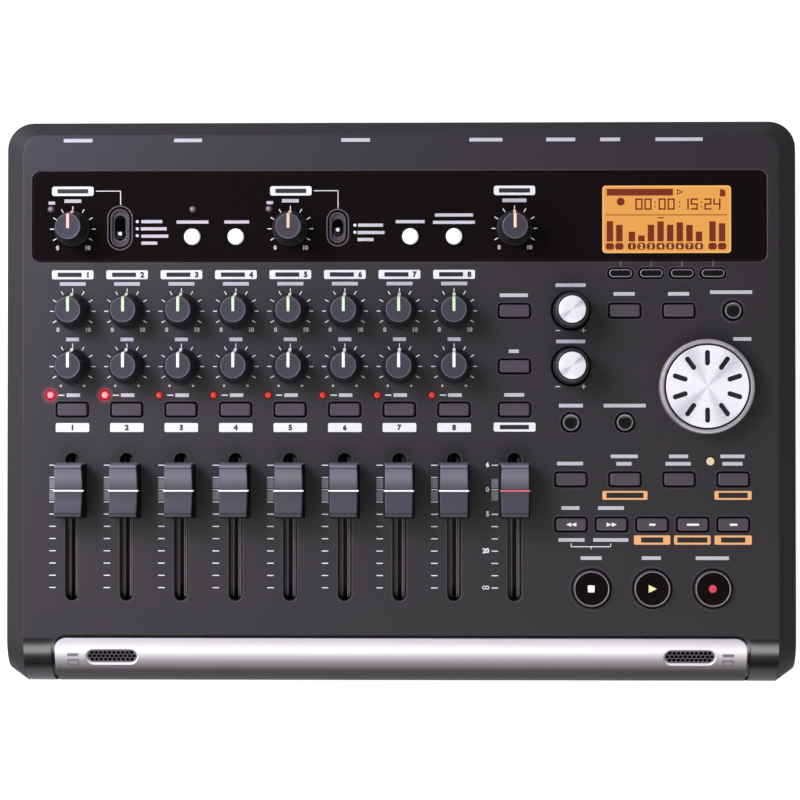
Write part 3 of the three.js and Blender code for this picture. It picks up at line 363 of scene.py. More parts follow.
class Nodes:
    """A node tree, of a new material or of the given owner, with short ways to add and join nodes."""

    def __init__(self, name, owner=None, shader="Principled BSDF"):
        self.material = owner or bpy.data.materials.new(name)
        self.material.use_nodes = True
        self.tree = self.material.node_tree
        self.shader = self.tree.nodes[shader]

    def add(self, kind, **settings):
        """A new node; a setting is one of its own or the value of an input."""
        node = self.tree.nodes.new("ShaderNode" + kind)
        for key, value in settings.items():
            if hasattr(node, key):
                setattr(node, key, value)
            else:
                node.inputs[key.replace("_", " ")].default_value = value
        return node

    def join(self, source, target):
        """Feeds an input from an output."""
        self.tree.links.new(source, target)

    def set(self, **values):
        """Sets inputs of the shader."""
        for key, value in values.items():
            self.shader.inputs[key.replace("_", " ")].default_value = value

    def feed(self, source, target="Base Color"):
        """Feeds one of the shader's inputs."""
        self.join(source, self.shader.inputs[target])

    def place(self, axis):
        """The Object coordinate along an axis."""
        split = self.add("SeparateXYZ")
        self.join(self.add("TexCoord").outputs["Object"], split.inputs["Vector"])
        return split.outputs[axis]

    def spin(self):
        """The spin attribute of a turned part."""
        return self.add("Attribute", attribute_name="spin").outputs["Vector"]

    def math(self, operation, *values):
        """The result of a sum; each value is a number or the output that feeds it."""
        node = self.add("Math", operation=operation)
        for target, value in zip(node.inputs, values):
            if isinstance(value, bpy.types.NodeSocket):
                self.join(value, target)
            else:
                target.default_value = value
        return node.outputs[0]

    def vector(self, operation, source, axis=None):
        """A vector brought to length one, its length, or its dot product with an axis."""
        node = self.add("VectorMath", operation=operation)
        self.join(source, node.inputs[0])
        if axis is not None:
            node.inputs[1].default_value = axis
        return node.outputs["Vector" if operation == "NORMALIZE" else "Value"]

    def noise(self, scale, detail=2.0, coordinates=None, stretch=None):
        """Noise on Object coordinates, or on the given ones, stretched along the axes."""
        source = coordinates or self.add("TexCoord").outputs["Object"]
        if stretch:
            mapping = self.add("Mapping", Scale=stretch)
            self.join(source, mapping.inputs["Vector"])
            source = mapping.outputs["Vector"]
        noise = self.add("TexNoise", Scale=scale, Detail=detail)
        self.join(source, noise.inputs["Vector"])
        return noise.outputs["Fac"]

    def spread(self, source, low, high, start=0.3, end=0.7):
        """A value from low to high as the source goes from start to end."""
        node = self.add("MapRange", From_Min=start, From_Max=end, To_Min=low, To_Max=high)
        self.join(source, node.inputs["Value"])
        return node.outputs["Result"]

    def blend(self, factor, first, second):
        """A colour between two colours."""
        node = self.add("Mix", data_type="RGBA")
        node.inputs[6].default_value, node.inputs[7].default_value = first, second
        self.join(factor, node.inputs[0])
        return node.outputs[2]

    def roughen(self, source, roughness, low=0.9, high=1.12):
        """An uneven roughness, between two shares of the given one."""
        self.feed(self.spread(source, roughness * low, min(roughness * high, 1.0)), "Roughness")

    def bump(self, source, strength, distance):
        """Fine relief on the shader's normal."""
        node = self.add("Bump", Strength=strength, Distance=distance)
        self.join(source, node.inputs["Height"])
        self.feed(node.outputs["Normal"], "Normal")


GRAIN = 3500.0  # scale of a moulded part's spark grain
GRAIN_DEPTH = 0.00008
RAY_FOCUS = 28.0  # how narrow the painted reflection rays of spun metal are
STRIP_SHADE_HEIGHTS = (0.010, 0.0325)  # the heights in metres between which the strip's painted reflection and shade change
# colour stops from the strip's lower edge to its top: painted shade low down where the roll turns under, a
# painted reflection near the top
STRIP_SHADE_STOPS = ((0.0, (0.01, 0.01, 0.01)), (0.6, (0.026, 0.023, 0.023)), (0.74, (0.075, 0.068, 0.07)),
               (0.87, (0.42, 0.4, 0.41)), (0.95, (0.8, 0.78, 0.78)), (1.0, (0.6, 0.58, 0.59)))


def grained(nodes, roughness, relief=0.15, shine=0.25):
    """Ends a moulded finish with a fine spark grain in its relief and gloss."""
    fine = nodes.noise(GRAIN)
    nodes.roughen(fine, roughness)
    nodes.bump(fine, relief, GRAIN_DEPTH)
    nodes.set(Specular_IOR_Level=shine)
    return nodes.material


def moulded(name, colour, roughness, relief=0.15, uneven=0.08, shine=0.25):
    """Moulded plastic: a fine grain, and a slightly uneven colour and gloss."""
    nodes = Nodes(name)
    cloud = nodes.noise(45.0, 3.0)
    nodes.feed(nodes.blend(cloud, shade(colour, 1 - uneven), shade(colour, 1 + uneven)))
    return grained(nodes, roughness, relief, shine)


def dish_shaded(name, front, rear, roughness):
    """Moulded plastic painted with light and shade: darker before the caps' line than behind it, and
    lightest at the rear end, as light falls on the caps' dished halves.
    """
    nodes = Nodes(name)
    low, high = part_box("fader_1")
    line = float(low[1] + high[1]) / 2
    behind = nodes.spread(nodes.place("Y"), 0.0, 1.0, line - 0.0005, line + 0.0045)
    nodes.feed(nodes.blend(behind, front, rear))
    return grained(nodes, roughness)


def glossy(name, colour, roughness=0.06, shine=0.3):
    """Polished plastic: a clear even surface with a faint smear in its gloss."""
    nodes = Nodes(name)
    nodes.roughen(nodes.noise(30.0, 4.0), roughness, 0.7, 1.8)
    lighter = (*np.minimum(np.array(colour[:3]) * 1.15 + 0.0005, 1.0), 1.0)
    nodes.feed(nodes.blend(nodes.noise(400.0, 1.0), colour, lighter))
    nodes.set(Specular_IOR_Level=shine)
    return nodes.material


def spun_metal(name, colour, rays, roughness, contrast=0.5):
    """Metal turned on a lathe, with fine rings and darker rays, read from the spin attribute; the rays are
    the reflection pattern of spun metal, painted into its colour.

    Each ray is an angle in degrees and a strength.
    """
    nodes = Nodes(name)
    spin = nodes.spin()
    way = nodes.vector("NORMALIZE", spin)
    total = 0.0
    for degrees, strength in rays:
        angle = np.radians(degrees)
        lean = nodes.vector("DOT_PRODUCT", way, (np.cos(angle), np.sin(angle), 0.0))
        ray = nodes.math("POWER", nodes.math("ABSOLUTE", lean), RAY_FOCUS)
        total = nodes.math("MULTIPLY_ADD", ray, strength, total)
    dark = nodes.math("MULTIPLY_ADD", nodes.noise(14.0, 3.0, way), 0.18, total)
    nodes.feed(nodes.blend(dark, colour, shade(colour, 1 - contrast)))
    rings = nodes.noise(90.0, 1.0, nodes.vector("LENGTH", spin))
    nodes.roughen(rings, roughness, 0.85, 1.2)
    nodes.bump(rings, 0.03, 0.00004)
    nodes.set(Metallic=0.25)
    return nodes.material


def brushed_strip(name):
    """Satin metal brushed along X, with painted shade that darkens it where the roll turns under to its
    lower edge and a painted reflection near its top.
    """
    nodes = Nodes(name)
    lines = nodes.noise(1.0, 3.0, None, (14.0, 5200.0, 5200.0))
    fine = nodes.noise(1.0, 2.0, None, (60.0, 12000.0, 12000.0))
    shade_ramp = nodes.add("ValToRGB")
    nodes.join(nodes.spread(nodes.place("Z"), 0.0, 1.0, *STRIP_SHADE_HEIGHTS), shade_ramp.inputs["Fac"])
    elements = shade_ramp.color_ramp.elements
    for i, (position, colour) in enumerate(STRIP_SHADE_STOPS):
        element = elements[i] if i < 2 else elements.new(position)
        element.position = position
        element.color = (*colour, 1.0)
    streak = nodes.add("Mix", data_type="RGBA", blend_type="MULTIPLY")
    streak.inputs[0].default_value = 1.0
    nodes.join(shade_ramp.outputs["Color"], streak.inputs[6])
    nodes.join(nodes.blend(lines, (0.78, 0.77, 0.77, 1.0), (1.0, 1.0, 1.0, 1.0)), streak.inputs[7])
    nodes.feed(streak.outputs[2])
    nodes.feed(nodes.spread(lines, 0.3, 0.42), "Roughness")
    nodes.bump(fine, 0.1, 0.00003)
    nodes.set(Metallic=0.2)
    return nodes.material


def printed(name, colour, roughness=0.5):
    """Screen ink: an even colour with a slight mottle."""
    nodes = Nodes(name)
    mottle = nodes.noise(900.0)
    nodes.feed(nodes.blend(mottle, shade(colour, 0.9), colour))
    nodes.roughen(mottle, roughness, 0.9, 1.1)
    return nodes.material


def halo_light(name, base, light):
    """The deck's plastic about a lit lamp, whose light fades outwards over the spin attribute."""
    nodes = Nodes(name)
    nodes.feed(nodes.blend(nodes.noise(GRAIN), shade(base, 0.92), base))
    fade = nodes.spread(nodes.vector("LENGTH", nodes.spin()), 0.9, 0.0, 0.35, 1.0)
    nodes.feed(nodes.math("POWER", fade, 2.4), "Emission Strength")
    nodes.set(Emission_Color=light, Roughness=0.5)
    return nodes.material


def glowing(name, colour, strength):
    """A lit lens or display: light of one colour, a little uneven, under a glossy face."""
    nodes = Nodes(name)
    nodes.feed(nodes.blend(nodes.noise(60.0), shade(colour, (0.92, 0.86, 1.0)), colour), "Emission Color")
    nodes.set(Emission_Strength=strength, Roughness=0.25, Specular_IOR_Level=0.2)
    nodes.set(Base_Color=(0.02, 0.015, 0.01, 1.0))
    return nodes.material


CASE = moulded("case_plastic", linear(27, 22, 25), 0.5, relief=0.3, uneven=0.12, shine=0.5)
ROLL_GLOSS = moulded("roll_plastic", linear(14, 9, 11), 0.24, relief=0.1, shine=1.0)
# the rims of the pill and round keys, painted light grey as the highlight on their edges
KEY_RIM_HIGHLIGHT = glossy("key_rim_painted_highlight", linear(112, 108, 110), 0.2, 0.6)
# raised lines round the deck's holes, painted lighter than the deck as the highlight on their edges
LIP_HIGHLIGHT = glossy("hole_lip_painted_highlight", linear(66, 60, 64), 0.3)
DARK = moulded("dark_plastic", linear(26, 24, 26), 0.6)
BASE = moulded("base_plastic", linear(38, 36, 39), 0.55)
GLOSS = glossy("gloss_panel_black", linear(16, 12, 11), shine=0.15)
KNOB = moulded("knob_plastic", linear(56, 55, 62), 0.42, relief=0.12)
# the knobs' top edge, painted lighter than the top as a highlight
KNOB_EDGE_HIGHLIGHT = moulded("knob_edge_painted_highlight", linear(92, 90, 99), 0.35, relief=0.05)
# the knobs' fluted body, painted darker than the top as shade
KNOB_SIDE_SHADE = moulded("knob_side_painted_shade", linear(30, 28, 31), 0.45)
EQ_SIDE = moulded("eq_side_plastic", linear(44, 40, 43), 0.36)
KEY = moulded("key_plastic", linear(70, 66, 71), 0.38, relief=0.12)
WHITE_KEY = moulded("white_key_plastic", linear(236, 235, 232), 0.35, relief=0.05, uneven=0.02)
BLACK_KEY = glossy("black_key_plastic", linear(20, 18, 18), 0.14)
# the caps' tops: painted shade on the front half, painted light on the rear half
FADER = dish_shaded("fader_painted_shading", linear(63, 62, 68), linear(104, 103, 112), 0.4)
# the caps' own plastic, painted darker as the shade on their sides, ends and grooves
FADER_SHADE = moulded("fader_side_painted_shade", linear(24, 20, 22), 0.7, relief=0.1, shine=0.08)
# spun metals whose darker rays are painted reflection, at the angles listed
SPUN = spun_metal("spun_metal", linear(250, 248, 251), ((118, 0.7), (45, 0.85)), 0.3, 0.34)
SPUN_CAP = spun_metal("spun_cap", linear(238, 236, 238), ((38, 1.0), (140, 0.12)), 0.3, 0.36)
SPUN_RING = spun_metal("spun_ring", linear(164, 160, 164), ((45, 0.5),), 0.35)
STRIP_METAL = brushed_strip("brushed_strip")
MESH = moulded("mesh_paint", linear(100, 94, 98), 0.35, relief=0.05)
WHITE = printed("white_ink", linear(217, 219, 218))
STRIP_INK = printed("strip_ink", linear(116, 110, 113))
SOFT_WHITE = printed("soft_white_ink", linear(182, 180, 184))
GREY_INK = printed("grey_ink", linear(120, 118, 123))
ORANGE = printed("orange_ink", linear(226, 168, 106))
DARK_INK = printed("dark_ink", linear(16, 13, 14))
GREEN_MARK = printed("green_pointer", linear(200, 226, 178))
WHITE_MARK = printed("white_pointer", linear(236, 236, 238))
COPPER_MARK = printed("copper_pointer", linear(232, 184, 158))
CREAM_MARK = printed("cream_pointer", linear(240, 206, 160))
RED_MARK = printed("red_line", linear(214, 92, 104))
AMBER = glowing("display_amber", linear(238, 168, 78), 1.0)
AMBER_EDGE = glowing("display_edge", linear(246, 196, 110), 1.0)
LCD_INK = printed("display_mark", linear(112, 44, 22), 0.3)
LAMP_LIT = glowing("lamp_lit", (1.0, 0.025, 0.05, 1.0), 1.6)
LAMP_CORE = glowing("lamp_core", linear(255, 186, 190), 1.05)
GLOW = halo_light("lamp_glow", linear(40, 34, 37), (1.0, 0.02, 0.04, 1.0))
LAMP_RED = glossy("lamp_red", linear(214, 62, 46), 0.1)
LAMP_RING = glossy("lamp_ring", linear(96, 12, 18), 0.2)
LAMP_AMBER = glowing("lamp_amber", linear(240, 218, 172), 0.95)
LAMP_GREY = printed("lamp_grey", linear(120, 118, 120), 0.3)
STOP_MARK = printed("stop_mark", linear(236, 236, 232))
PLAY_MARK = printed("play_mark", linear(222, 232, 160))
RECORD_MARK = printed("record_mark", linear(206, 58, 76))
SOCKET = moulded("socket_plastic", linear(24, 24, 26), 0.4)
VOID = moulded("void_black", linear(6, 5, 5), 0.8, shine=0.02)
LINING = moulded("lining_metal", linear(214, 210, 210), 0.35, relief=0.05, uneven=0.04)
BUTTON_SKIRT = moulded("button_skirt", linear(58, 54, 58), 0.4, relief=0.05)
# the transport buttons' polished rim, painted light grey as its highlight
BUTTON_RIM_HIGHLIGHT = glossy("button_rim_painted_highlight", linear(140, 136, 139), 0.16, 0.7)
# the switch bezels' outer ridge, painted lighter as a highlight on its rounded edge
BEZEL_HIGHLIGHT = glossy("bezel_ridge_painted_highlight", linear(96, 91, 95), 0.2)
RAIL = moulded("rail_metal", linear(128, 120, 122), 0.35, relief=0.05)
SLOT_FLOOR = moulded("slot_floor_plastic", linear(96, 88, 92), 0.5, relief=0.05)

body_of = {node: body for body, nodes in record["behaviour"]["bodies"].items() for node in nodes}


SHARP = np.radians(40)  # the turn at an edge from which it is rounded


def softened(node, material, width):
    """A copy of a CAD node whose points are merged and whose edges are rounded; it stands for the node."""
    source = frame["nodes"][node]
    mesh = source.data.copy()
    bm = bmesh.new()
    bm.from_mesh(mesh)
    bmesh.ops.remove_doubles(bm, verts=bm.verts, dist=1e-6)
    bmesh.ops.dissolve_limit(bm, angle_limit=np.radians(1), verts=bm.verts, edges=bm.edges)
    if width:
        sharp = [edge for edge in bm.edges if len(edge.link_faces) == 2 and edge.calc_face_angle() > SHARP]
        bmesh.ops.bevel(bm, geom=sharp, offset=width * MM, segments=2, affect="EDGES", clamp_overlap=True)
    bm.to_mesh(mesh)
    bm.free()
    mesh.materials.clear()
    mesh.materials.append(material)
    mesh.polygons.foreach_set("material_index", [0] * len(mesh.polygons))
    mesh.polygons.foreach_set("use_smooth", [True] * len(mesh.polygons))
    mesh.set_sharp_from_angle(angle=np.radians(32))
    piece = bpy.data.objects.new(node + "_dressed", mesh)
    bpy.context.collection.objects.link(piece)
    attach(piece, body_of[node])
    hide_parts(node)
    return piece


# Places of the controls: a node's name and the middles of its keys, or its own place and mark

BARS = {
    "record_keys": [(x, REC_ROW) for x in TRACKS],
    "channel_keys": [(MASTER, row) for row in (REC_ROW, PAN_ROW, REVERB_ROW)],
    "menu_keys": [(x, REVERB_ROW) for x in COLUMNS[1:3]],
    "locate_keys": [(x, LOCATE_ROW) for x in COLUMNS],
    "wind_keys": [(x, WIND_ROW) for x in WINDS],
}
SOFT_KEYS = [(x, SOFT_ROW) for x in SOFTS]
DARK_ROUNDS = {"tuner_keys": [(x, TUNER_ROW) for x in COLUMNS[:2]], "menu_keys": [(COLUMNS[3], REVERB_ROW)]}
WHITE_ROUNDS = {"input_keys": PANEL_KEYS[:2], "mix_keys": PANEL_KEYS[2:]}
KNOBS = {f"reverb_knob_{i + 1}": (x, REVERB_ROW, GREEN_MARK) for i, x in enumerate(TRACKS)}
KNOBS.update({f"pan_knob_{i + 1}": (x, PAN_ROW, WHITE_MARK) for i, x in enumerate(TRACKS)})
KNOBS["trim_knob_a"] = (TRACKS[0], PANEL_KNOB_ROW, COPPER_MARK)
KNOBS["trim_knob_b"] = (TRACKS[4], PANEL_KNOB_ROW, COPPER_MARK)
KNOBS["phones_knob"] = (MASTER, PANEL_KNOB_ROW, CREAM_MARK)
PANEL_KNOBS = ("trim_knob_a", "trim_knob_b", "phones_knob")
EQ_KNOBS = {"eq_high_knob": (COLUMNS[0], REVERB_ROW), "eq_low_knob": (COLUMNS[0], PAN_ROW)}
FADERS = {f"fader_{i + 1}": (x, WHITE_MARK) for i, x in enumerate(TRACKS)}
FADERS["master_fader"] = (MASTER, RED_MARK)
SWITCHES = {  # its place across, its bezel's width and length, and its travel
    "input_a_switch": (TRACKS[0] + 17.4, 9.9, 16.9, 5.2),
    "input_b_switch": (TRACKS[4] + 17.4, 8.8, 14.2, 2.5),
}
SWITCH_SLOT = 4.0  # the width of a switch's slot, and its length beyond the travel


def places_in(groups):
    """The middles of all the keys in some groups."""
    return [place for places in groups.values() for place in places]


# Case

SOFT_EDGE, CRISP_EDGE = 0.7, 0.8
ROLL_POINTS, EDGE_POINTS, CORNER_STEPS = 21, 11, 8  # of a rim: round the roll, up the side, round a corner
SIDE_POINTS = ROLL_POINTS + EDGE_POINTS + 1  # up to the start of the rear corner
FRONT_POINTS = 28  # of the front's profile, round the roll
STRIP_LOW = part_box("front_strip")[0][2] / MM


def deck_mm(points):
    """Deck millimetres to the frame's millimetres."""
    return on_deck(points) / MM


def chamfer_section():
    """Steps outside and under the deck's edge: a soft bend, the chamfer, a crisp bend at the shoulder."""
    slant = np.arctan2(CHAMFER[2], CHAMFER[0])
    first, last = SOFT_EDGE * np.tan(slant / 2), CRISP_EDGE * np.tan((np.pi / 2 - slant) / 2)
    upper, lower = np.linspace(0, slant, 6), np.linspace(slant, np.pi / 2, 6)
    bend = np.column_stack([SOFT_EDGE * np.sin(upper) - first, SOFT_EDGE * (1 - np.cos(upper))])
    shoulder = np.column_stack([CHAMFER[0] + CRISP_EDGE * (np.sin(lower) - 1),
                                CHAMFER[2] + last - CRISP_EDGE * np.cos(lower)])
    return np.concatenate([bend, shoulder])


def rim(out, down):
    """A line up the left of the front roll, round the deck's rear and down the right, in deck millimetres.

    It lies out millimetres outside the deck's edge and down millimetres under it.
    The roll's radius shrinks by down.
    """
    share = out / CHAMFER[0]
    half, rear = DECK_HALF + out, DECK_DEPTH + share * CHAMFER[1]
    corner = DECK_CORNER + share * (CASE_CORNER - DECK_CORNER)
    angle = np.linspace(np.pi / 2 - SLOPE, 0, ROLL_POINTS)
    roll = np.column_stack([(down - ROLL) * np.sin(angle), (ROLL - down) * np.cos(angle) - ROLL])
    up_side = np.linspace(0, rear - corner, EDGE_POINTS + 2)[1:-1]
    line = np.concatenate([roll, np.column_stack([up_side, np.full(EDGE_POINTS, -down)])])
    left = np.column_stack([np.full(len(line), -half), line])
    bend = arc((corner - half, rear - corner), corner, 180, 90, CORNER_STEPS)
    left = np.concatenate([left, at_height(bend, -down)])
    return np.concatenate([left, left[::-1] * [-1, 1, 1]])


SECTION = chamfer_section()
WALL_TOP = deck_mm(rim(*SECTION[-1]))
REAR = WALL_TOP[SIDE_POINTS + CORNER_STEPS - 1, 1]  # near the end of the rear corner, just inside the face
REAR_WALL, SIDE_WALL = 2.4, 2.0
SOCKET_Z = (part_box("power_button")[0][2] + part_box("power_button")[1][2]) / 2 / MM
POWER_X = (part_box("power_button")[0][0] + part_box("power_button")[1][0]) / 2 / MM
POWER_HOLE = (11.6, 6.0)
# The rear holes, each with its place across and its radius
SOCKET_HOLES = ((-118.7, 3.9), (-89.3, 11.9), (-63.8, 5.8), (-27.7, 11.9), (-2.2, 5.8),
                (23.9, 5.7), (38.9, 5.7), (58.8, 5.8), (77.0, 3.9))
RECESS = np.array([[-128.7, SOCKET_Z - 12.5], [112.3, SOCKET_Z + 12.5]])
RECESS_DEPTH, RECESS_CORNER = 8.0, 1.2
DOOR = np.array([[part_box("card_door")[i][axis] / MM for axis in (1, 2)] for i in (0, 1)])
DOOR_ROOM = 0.3


def with_feet(line):
    """A line in frame millimetres with a point straight under each end, at the seam's height."""
    feet = line[[0, -1]].copy()
    feet[:, 2] = SEAM
    return np.concatenate([feet[:1], line, feet[1:]])


def strip_reach(y, room=0.0):
    """Half the strip's length at a place y in front of the deck: full but for the rounded rear corners."""
    half, radius, _ = STRIP
    over = np.clip(np.asarray(y, float) + radius, 0, radius + room)
    return half - radius + np.sqrt(np.maximum((radius + room) ** 2 - over ** 2, 0))


def roll_line(depth, low=SEAM):
    """The front's [y, z] profile at a depth, in deck millimetres, round the roll and down to a height."""
    radius = ROLL - depth
    angle = np.linspace(0, np.pi / 2 - SLOPE, FRONT_POINTS)
    line = np.column_stack([-radius * np.sin(angle), radius * np.cos(angle) - ROLL])
    fall = (deck_mm([[0, *line[-1]]])[0][2] - low) * np.array([-np.sin(SLOPE), -np.cos(SLOPE)])
    return np.concatenate([line, line[-1] + fall * np.array([[0.5], [1.0]])])


def front_skin():
    """The black cheeks beside the strip, the bed under it and the sill below it."""
    inner = DECK_HALF + SECTION[0][0]
    half, _, room = STRIP
    face, bed, sill = roll_line(0), roll_line(STRIP_BED), roll_line(0, STRIP_LOW - room)
    lips = [roll_line(depth) for depth in (0.08, 0.3)]
    reach = strip_reach(face[:, 0], room)
    surfaces = []
    for side in (-1, 1):
        surfaces.append(sheet([[(side * x, *point) for x in np.linspace(edge + 0.3, inner, 6)]
                               for edge, point in zip(reach, face)]))
        surfaces.append(sheet([
            [(side * (edge + 0.3), *point), (side * (edge + 0.09), *high),
             (side * edge, *low), (side * edge, *foot)]
            for edge, point, high, low, foot in zip(reach, face, *lips, bed)]))
    across = np.linspace(-half - room, half + room, 3)
    down_bed = np.concatenate([[[room, -STRIP_BED]], bed])
    down_step = [(room, 0), (room, -STRIP_BED)]
    under_strip = [sill[-1] + [1.5, 0.1], sill[-1], face[-1]]
    for line in (down_bed, down_step, under_strip):
        surfaces.append(sheet([[(x, *point) for x in across] for point in line]))
    return gather(*surfaces)


def deck_outline():
    """The deck's flat outline inside the soft bend, with the strip's bed let into its front edge."""
    line = rim(*SECTION[0])
    flat = line[np.abs(line[:, 2]) < 1e-6][:, :2]
    half, radius, room = STRIP
    start = 90 - np.degrees(np.arccos(radius / (radius + room)))
    bend = arc((half - radius, -radius), radius + room, start, 90, 5)
    bend = bend[bend[:, 1] > -1e-6]
    return np.concatenate([flat, bend, bend[::-1] * [-1, 1]])


def deck_holes():
    """The holes of the deck: shafts, slots, keys and buttons."""
    shafts = [place[:2] for name, place in KNOBS.items() if name not in PANEL_KNOBS] + [WHEEL]
    holes = [circle(x, y, EQ_RECESS, 48) for x, y in EQ_KNOBS.values()]
    holes += [circle(x, y, SHAFT_HOLE, 20) for x, y in shafts]
    holes += [pill(x, SLOT_ROW, *SLOT_SIZE) for x, _ in FADERS.values()]
    holes += [rounded(x, y, *KEY_HOLE, KEY_CORNER, 4) for x, y in places_in(BARS)]
    holes += [pill(x, y, *SOFT_HOLE) for x, y in SOFT_KEYS]
    holes += [circle(x, y, ROUND_HOLE, 32) for x, y in places_in(DARK_ROUNDS)]
    return holes + [circle(x, TRANSPORT_ROW, TRANSPORT_HOLE, 48) for x in TRANSPORTS]


def well_holes():
    """The holes of the well's floor: shafts, round keys, switches and the display."""
    holes = [circle(*KNOBS[name][:2], SHAFT_HOLE, 20) for name in PANEL_KNOBS]
    holes += [circle(x, PANEL_KEY_ROW, ROUND_HOLE, 24) for x in PANEL_KEYS]
    holes += [rounded(x, SWITCH_ROW, SWITCH_SLOT, travel + SWITCH_SLOT, 0.3, 2)
              for x, _, _, travel in SWITCHES.values()]
    return holes + [wider(rounded, *LCD, LCD_SIZE, 0.3, 0.6, 3)]


def panel_outline(room=0.0):
    """The gloss panel's outline, grown by room."""
    return between(PANEL, PANEL_CORNER + room, 6, room)


def deck_skin():
    """The deck's plate with its holes, and the well's floor under the gloss panel."""
    holes = [panel_outline(0.35)] + deck_holes()
    plate = slab([deck_outline()] + holes, -DECK_THICKNESS, 0, [0.0] + [RIM] * len(holes), 3)
    well = slab([panel_outline(1.5)] + well_holes(), -DECK_THICKNESS, -1.35)
    return gather(plate, well)


def upright(surface):
    """A slab that was made lying down, turned so that its upper face looks to the rear."""
    return surface[0][:, [0, 2, 1]], surface[1]


def walls():
    """The shoulder, the side walls with the card door's hole, and the rear wall, in frame millimetres."""
    surfaces = [sheet([with_feet(deck_mm(rim(*step))) for step in SECTION])]
    low = WALL_TOP.copy()
    low[:, 2] = SEAM
    middle = len(WALL_TOP) // 2
    for side in (slice(SIDE_POINTS - 1, middle), slice(middle, len(WALL_TOP) - SIDE_POINTS + 1)):
        surfaces.append(sheet([WALL_TOP[side], low[side]]))
    half, y, z = WALL_TOP[middle]
    rear = [[(-half, SEAM), (half, SEAM), (half, z), (-half, z)], between(RECESS, RECESS_CORNER, 4)]
    surfaces.append(upright(slab(rear, y - REAR_WALL, y, [0.0, 0.5])))
    line = WALL_TOP[:SIDE_POINTS, 1:]
    profile = np.concatenate([line, [[line[-1, 0], SEAM]], [[line[0, 0], SEAM]]])
    for side, holes in ((-1, []), (1, [between(DOOR, 0.5, 3, DOOR_ROOM)])):
        points, faces = slab([profile] + holes, -SIDE_WALL, 0, [0.0] + [0.25] * len(holes))
        points = np.column_stack([side * (WALL_TOP[-1, 0] + points[:, 2]), points[:, 0], points[:, 1]])
        surfaces.append((points, faces))
    return gather(*surfaces)


def seam_lip():
    """A lip inside the seam that keeps it dark, a little in from the cover's lower edge, in frame mm."""
    feet = np.array([deck_mm(rim(*step))[0] for step in SECTION[::-1]])
    rear = WALL_TOP[SIDE_POINTS - 1:len(WALL_TOP) - SIDE_POINTS + 1][::-1]
    outline = np.concatenate([feet, feet[::-1] * [-1, 1, 1], rear])[:, :2]
    outline = directed([outline])[0]
    outline = outline[np.linalg.norm(outline - np.roll(outline, 1, 0), axis=1) > 1e-4]
    rings = [(0.0, SEAM), (0.9, SEAM), (0.9, SEAM - 2.5), (1.6, SEAM - 2.5), (1.6, SEAM + 2)]
    return sheet([at_height(inset(outline, distance), z) for distance, z in rings], closed=True)


def recess_lining():
    """The rear recess in frame millimetres: four walls and a back plate with its holes."""
    face = REAR - RECESS_DEPTH
    rings = [np.insert(between(RECESS, RECESS_CORNER, 4), 1, y, axis=1) for y in (REAR - 0.5, face)]
    holes = [circle(x, SOCKET_Z, radius, 40) for x, radius in SOCKET_HOLES]
    holes.append(rounded(POWER_X, SOCKET_Z, *POWER_HOLE, 0.6, 3))
    plate = [between(RECESS, 0.5, 3, 0.5)] + holes
    back = slab(plate, face - REAR_WALL, face, [0.0] + [0.3] * len(holes))
    return gather(sheet(rings, closed=True), upright(back))


def case():
    """The upper cover in one piece, and the base under it."""
    def placed(surface):
        return deck_mm(surface[0]), surface[1]
    parts = [(placed(deck_skin()), CASE), (placed(front_skin()), ROLL_GLOSS), (walls(), CASE),
             (recess_lining(), DARK), (seam_lip(), DARK)]
    build("upper_cover", parts, "case", on_floor, ["top_cover"], 32)
    softened("bottom_cover", BASE, 0.4)
    softened("card_door", DARK, 0.25)


def strip_skin():
    """The brushed strip: a plate with rounded edges over the front roll and down to its lower edge."""
    end = roll_line(0, STRIP_LOW)
    length = ROLL * (np.pi / 2 - SLOPE)
    fall = np.linalg.norm(end[-1] - end[-3])
    along = STRIP_EDGE + [(way, 0.0) for way in np.linspace(0.8, length, 34)]
    along += [(length + fall - way, down) for way, down in STRIP_EDGE[::-1]]
    rows = []
    for way, down in along:
        angle = min(way / ROLL, length / ROLL)
        extra = max(way - length, 0.0)
        reach = strip_reach(-ROLL * np.sin(angle))
        front = [(inward - reach, depth) for inward, depth in STRIP_EDGE]
        front += [(x * reach, 0.0) for x in np.linspace(-0.99, 0.99, 12)]
        front += [(reach - inward, depth) for inward, depth in STRIP_EDGE[::-1]]
        row = []
        for x, depth in front + [(x, STRIP_BACK) for x, _ in front[::-1]]:
            radius = ROLL - max(down, depth)
            y, z = -radius * np.sin(angle), radius * np.cos(angle) - ROLL
            row.append((x, y - extra * np.sin(SLOPE), z - extra * np.cos(SLOPE)))
        rows.append(row)
    return capped(rows)


def mic_ring(room):
    """A microphone's outline about its own middle, grown by room."""
    return wider(pill, 0, 0, MIC_SIZE, room, 12)


def strip():
    """The brushed strip with the two microphone openings cut in it."""
    piece = build("strip", [(strip_skin(), STRIP_METAL)], "case", replaces=["front_strip"], smooth=50)
    openings = [[on_roll(at_height(mic_ring(room), z), side) for room, z in MIC_CUT] for side in (-1, 1)]
    cut_out(piece, build("cutter", [(capped(rings), STRIP_METAL) for rings in openings], "case"))


def cut_out(piece, cutter):
    """Takes the cutter out of the piece's mesh, and the cutter out of the scene."""
    modifier = piece.modifiers.new("cut", "BOOLEAN")
    modifier.object, modifier.operation, modifier.solver = cutter, "DIFFERENCE", "EXACT"
    bpy.context.view_layer.update()
    whole = bpy.data.meshes.new_from_object(piece.evaluated_get(bpy.context.evaluated_depsgraph_get()))
    piece.modifiers.clear()
    piece.data = whole
    piece.data.set_sharp_from_angle(angle=np.radians(40))
    even_normals(piece)
    bpy.data.objects.remove(cutter)


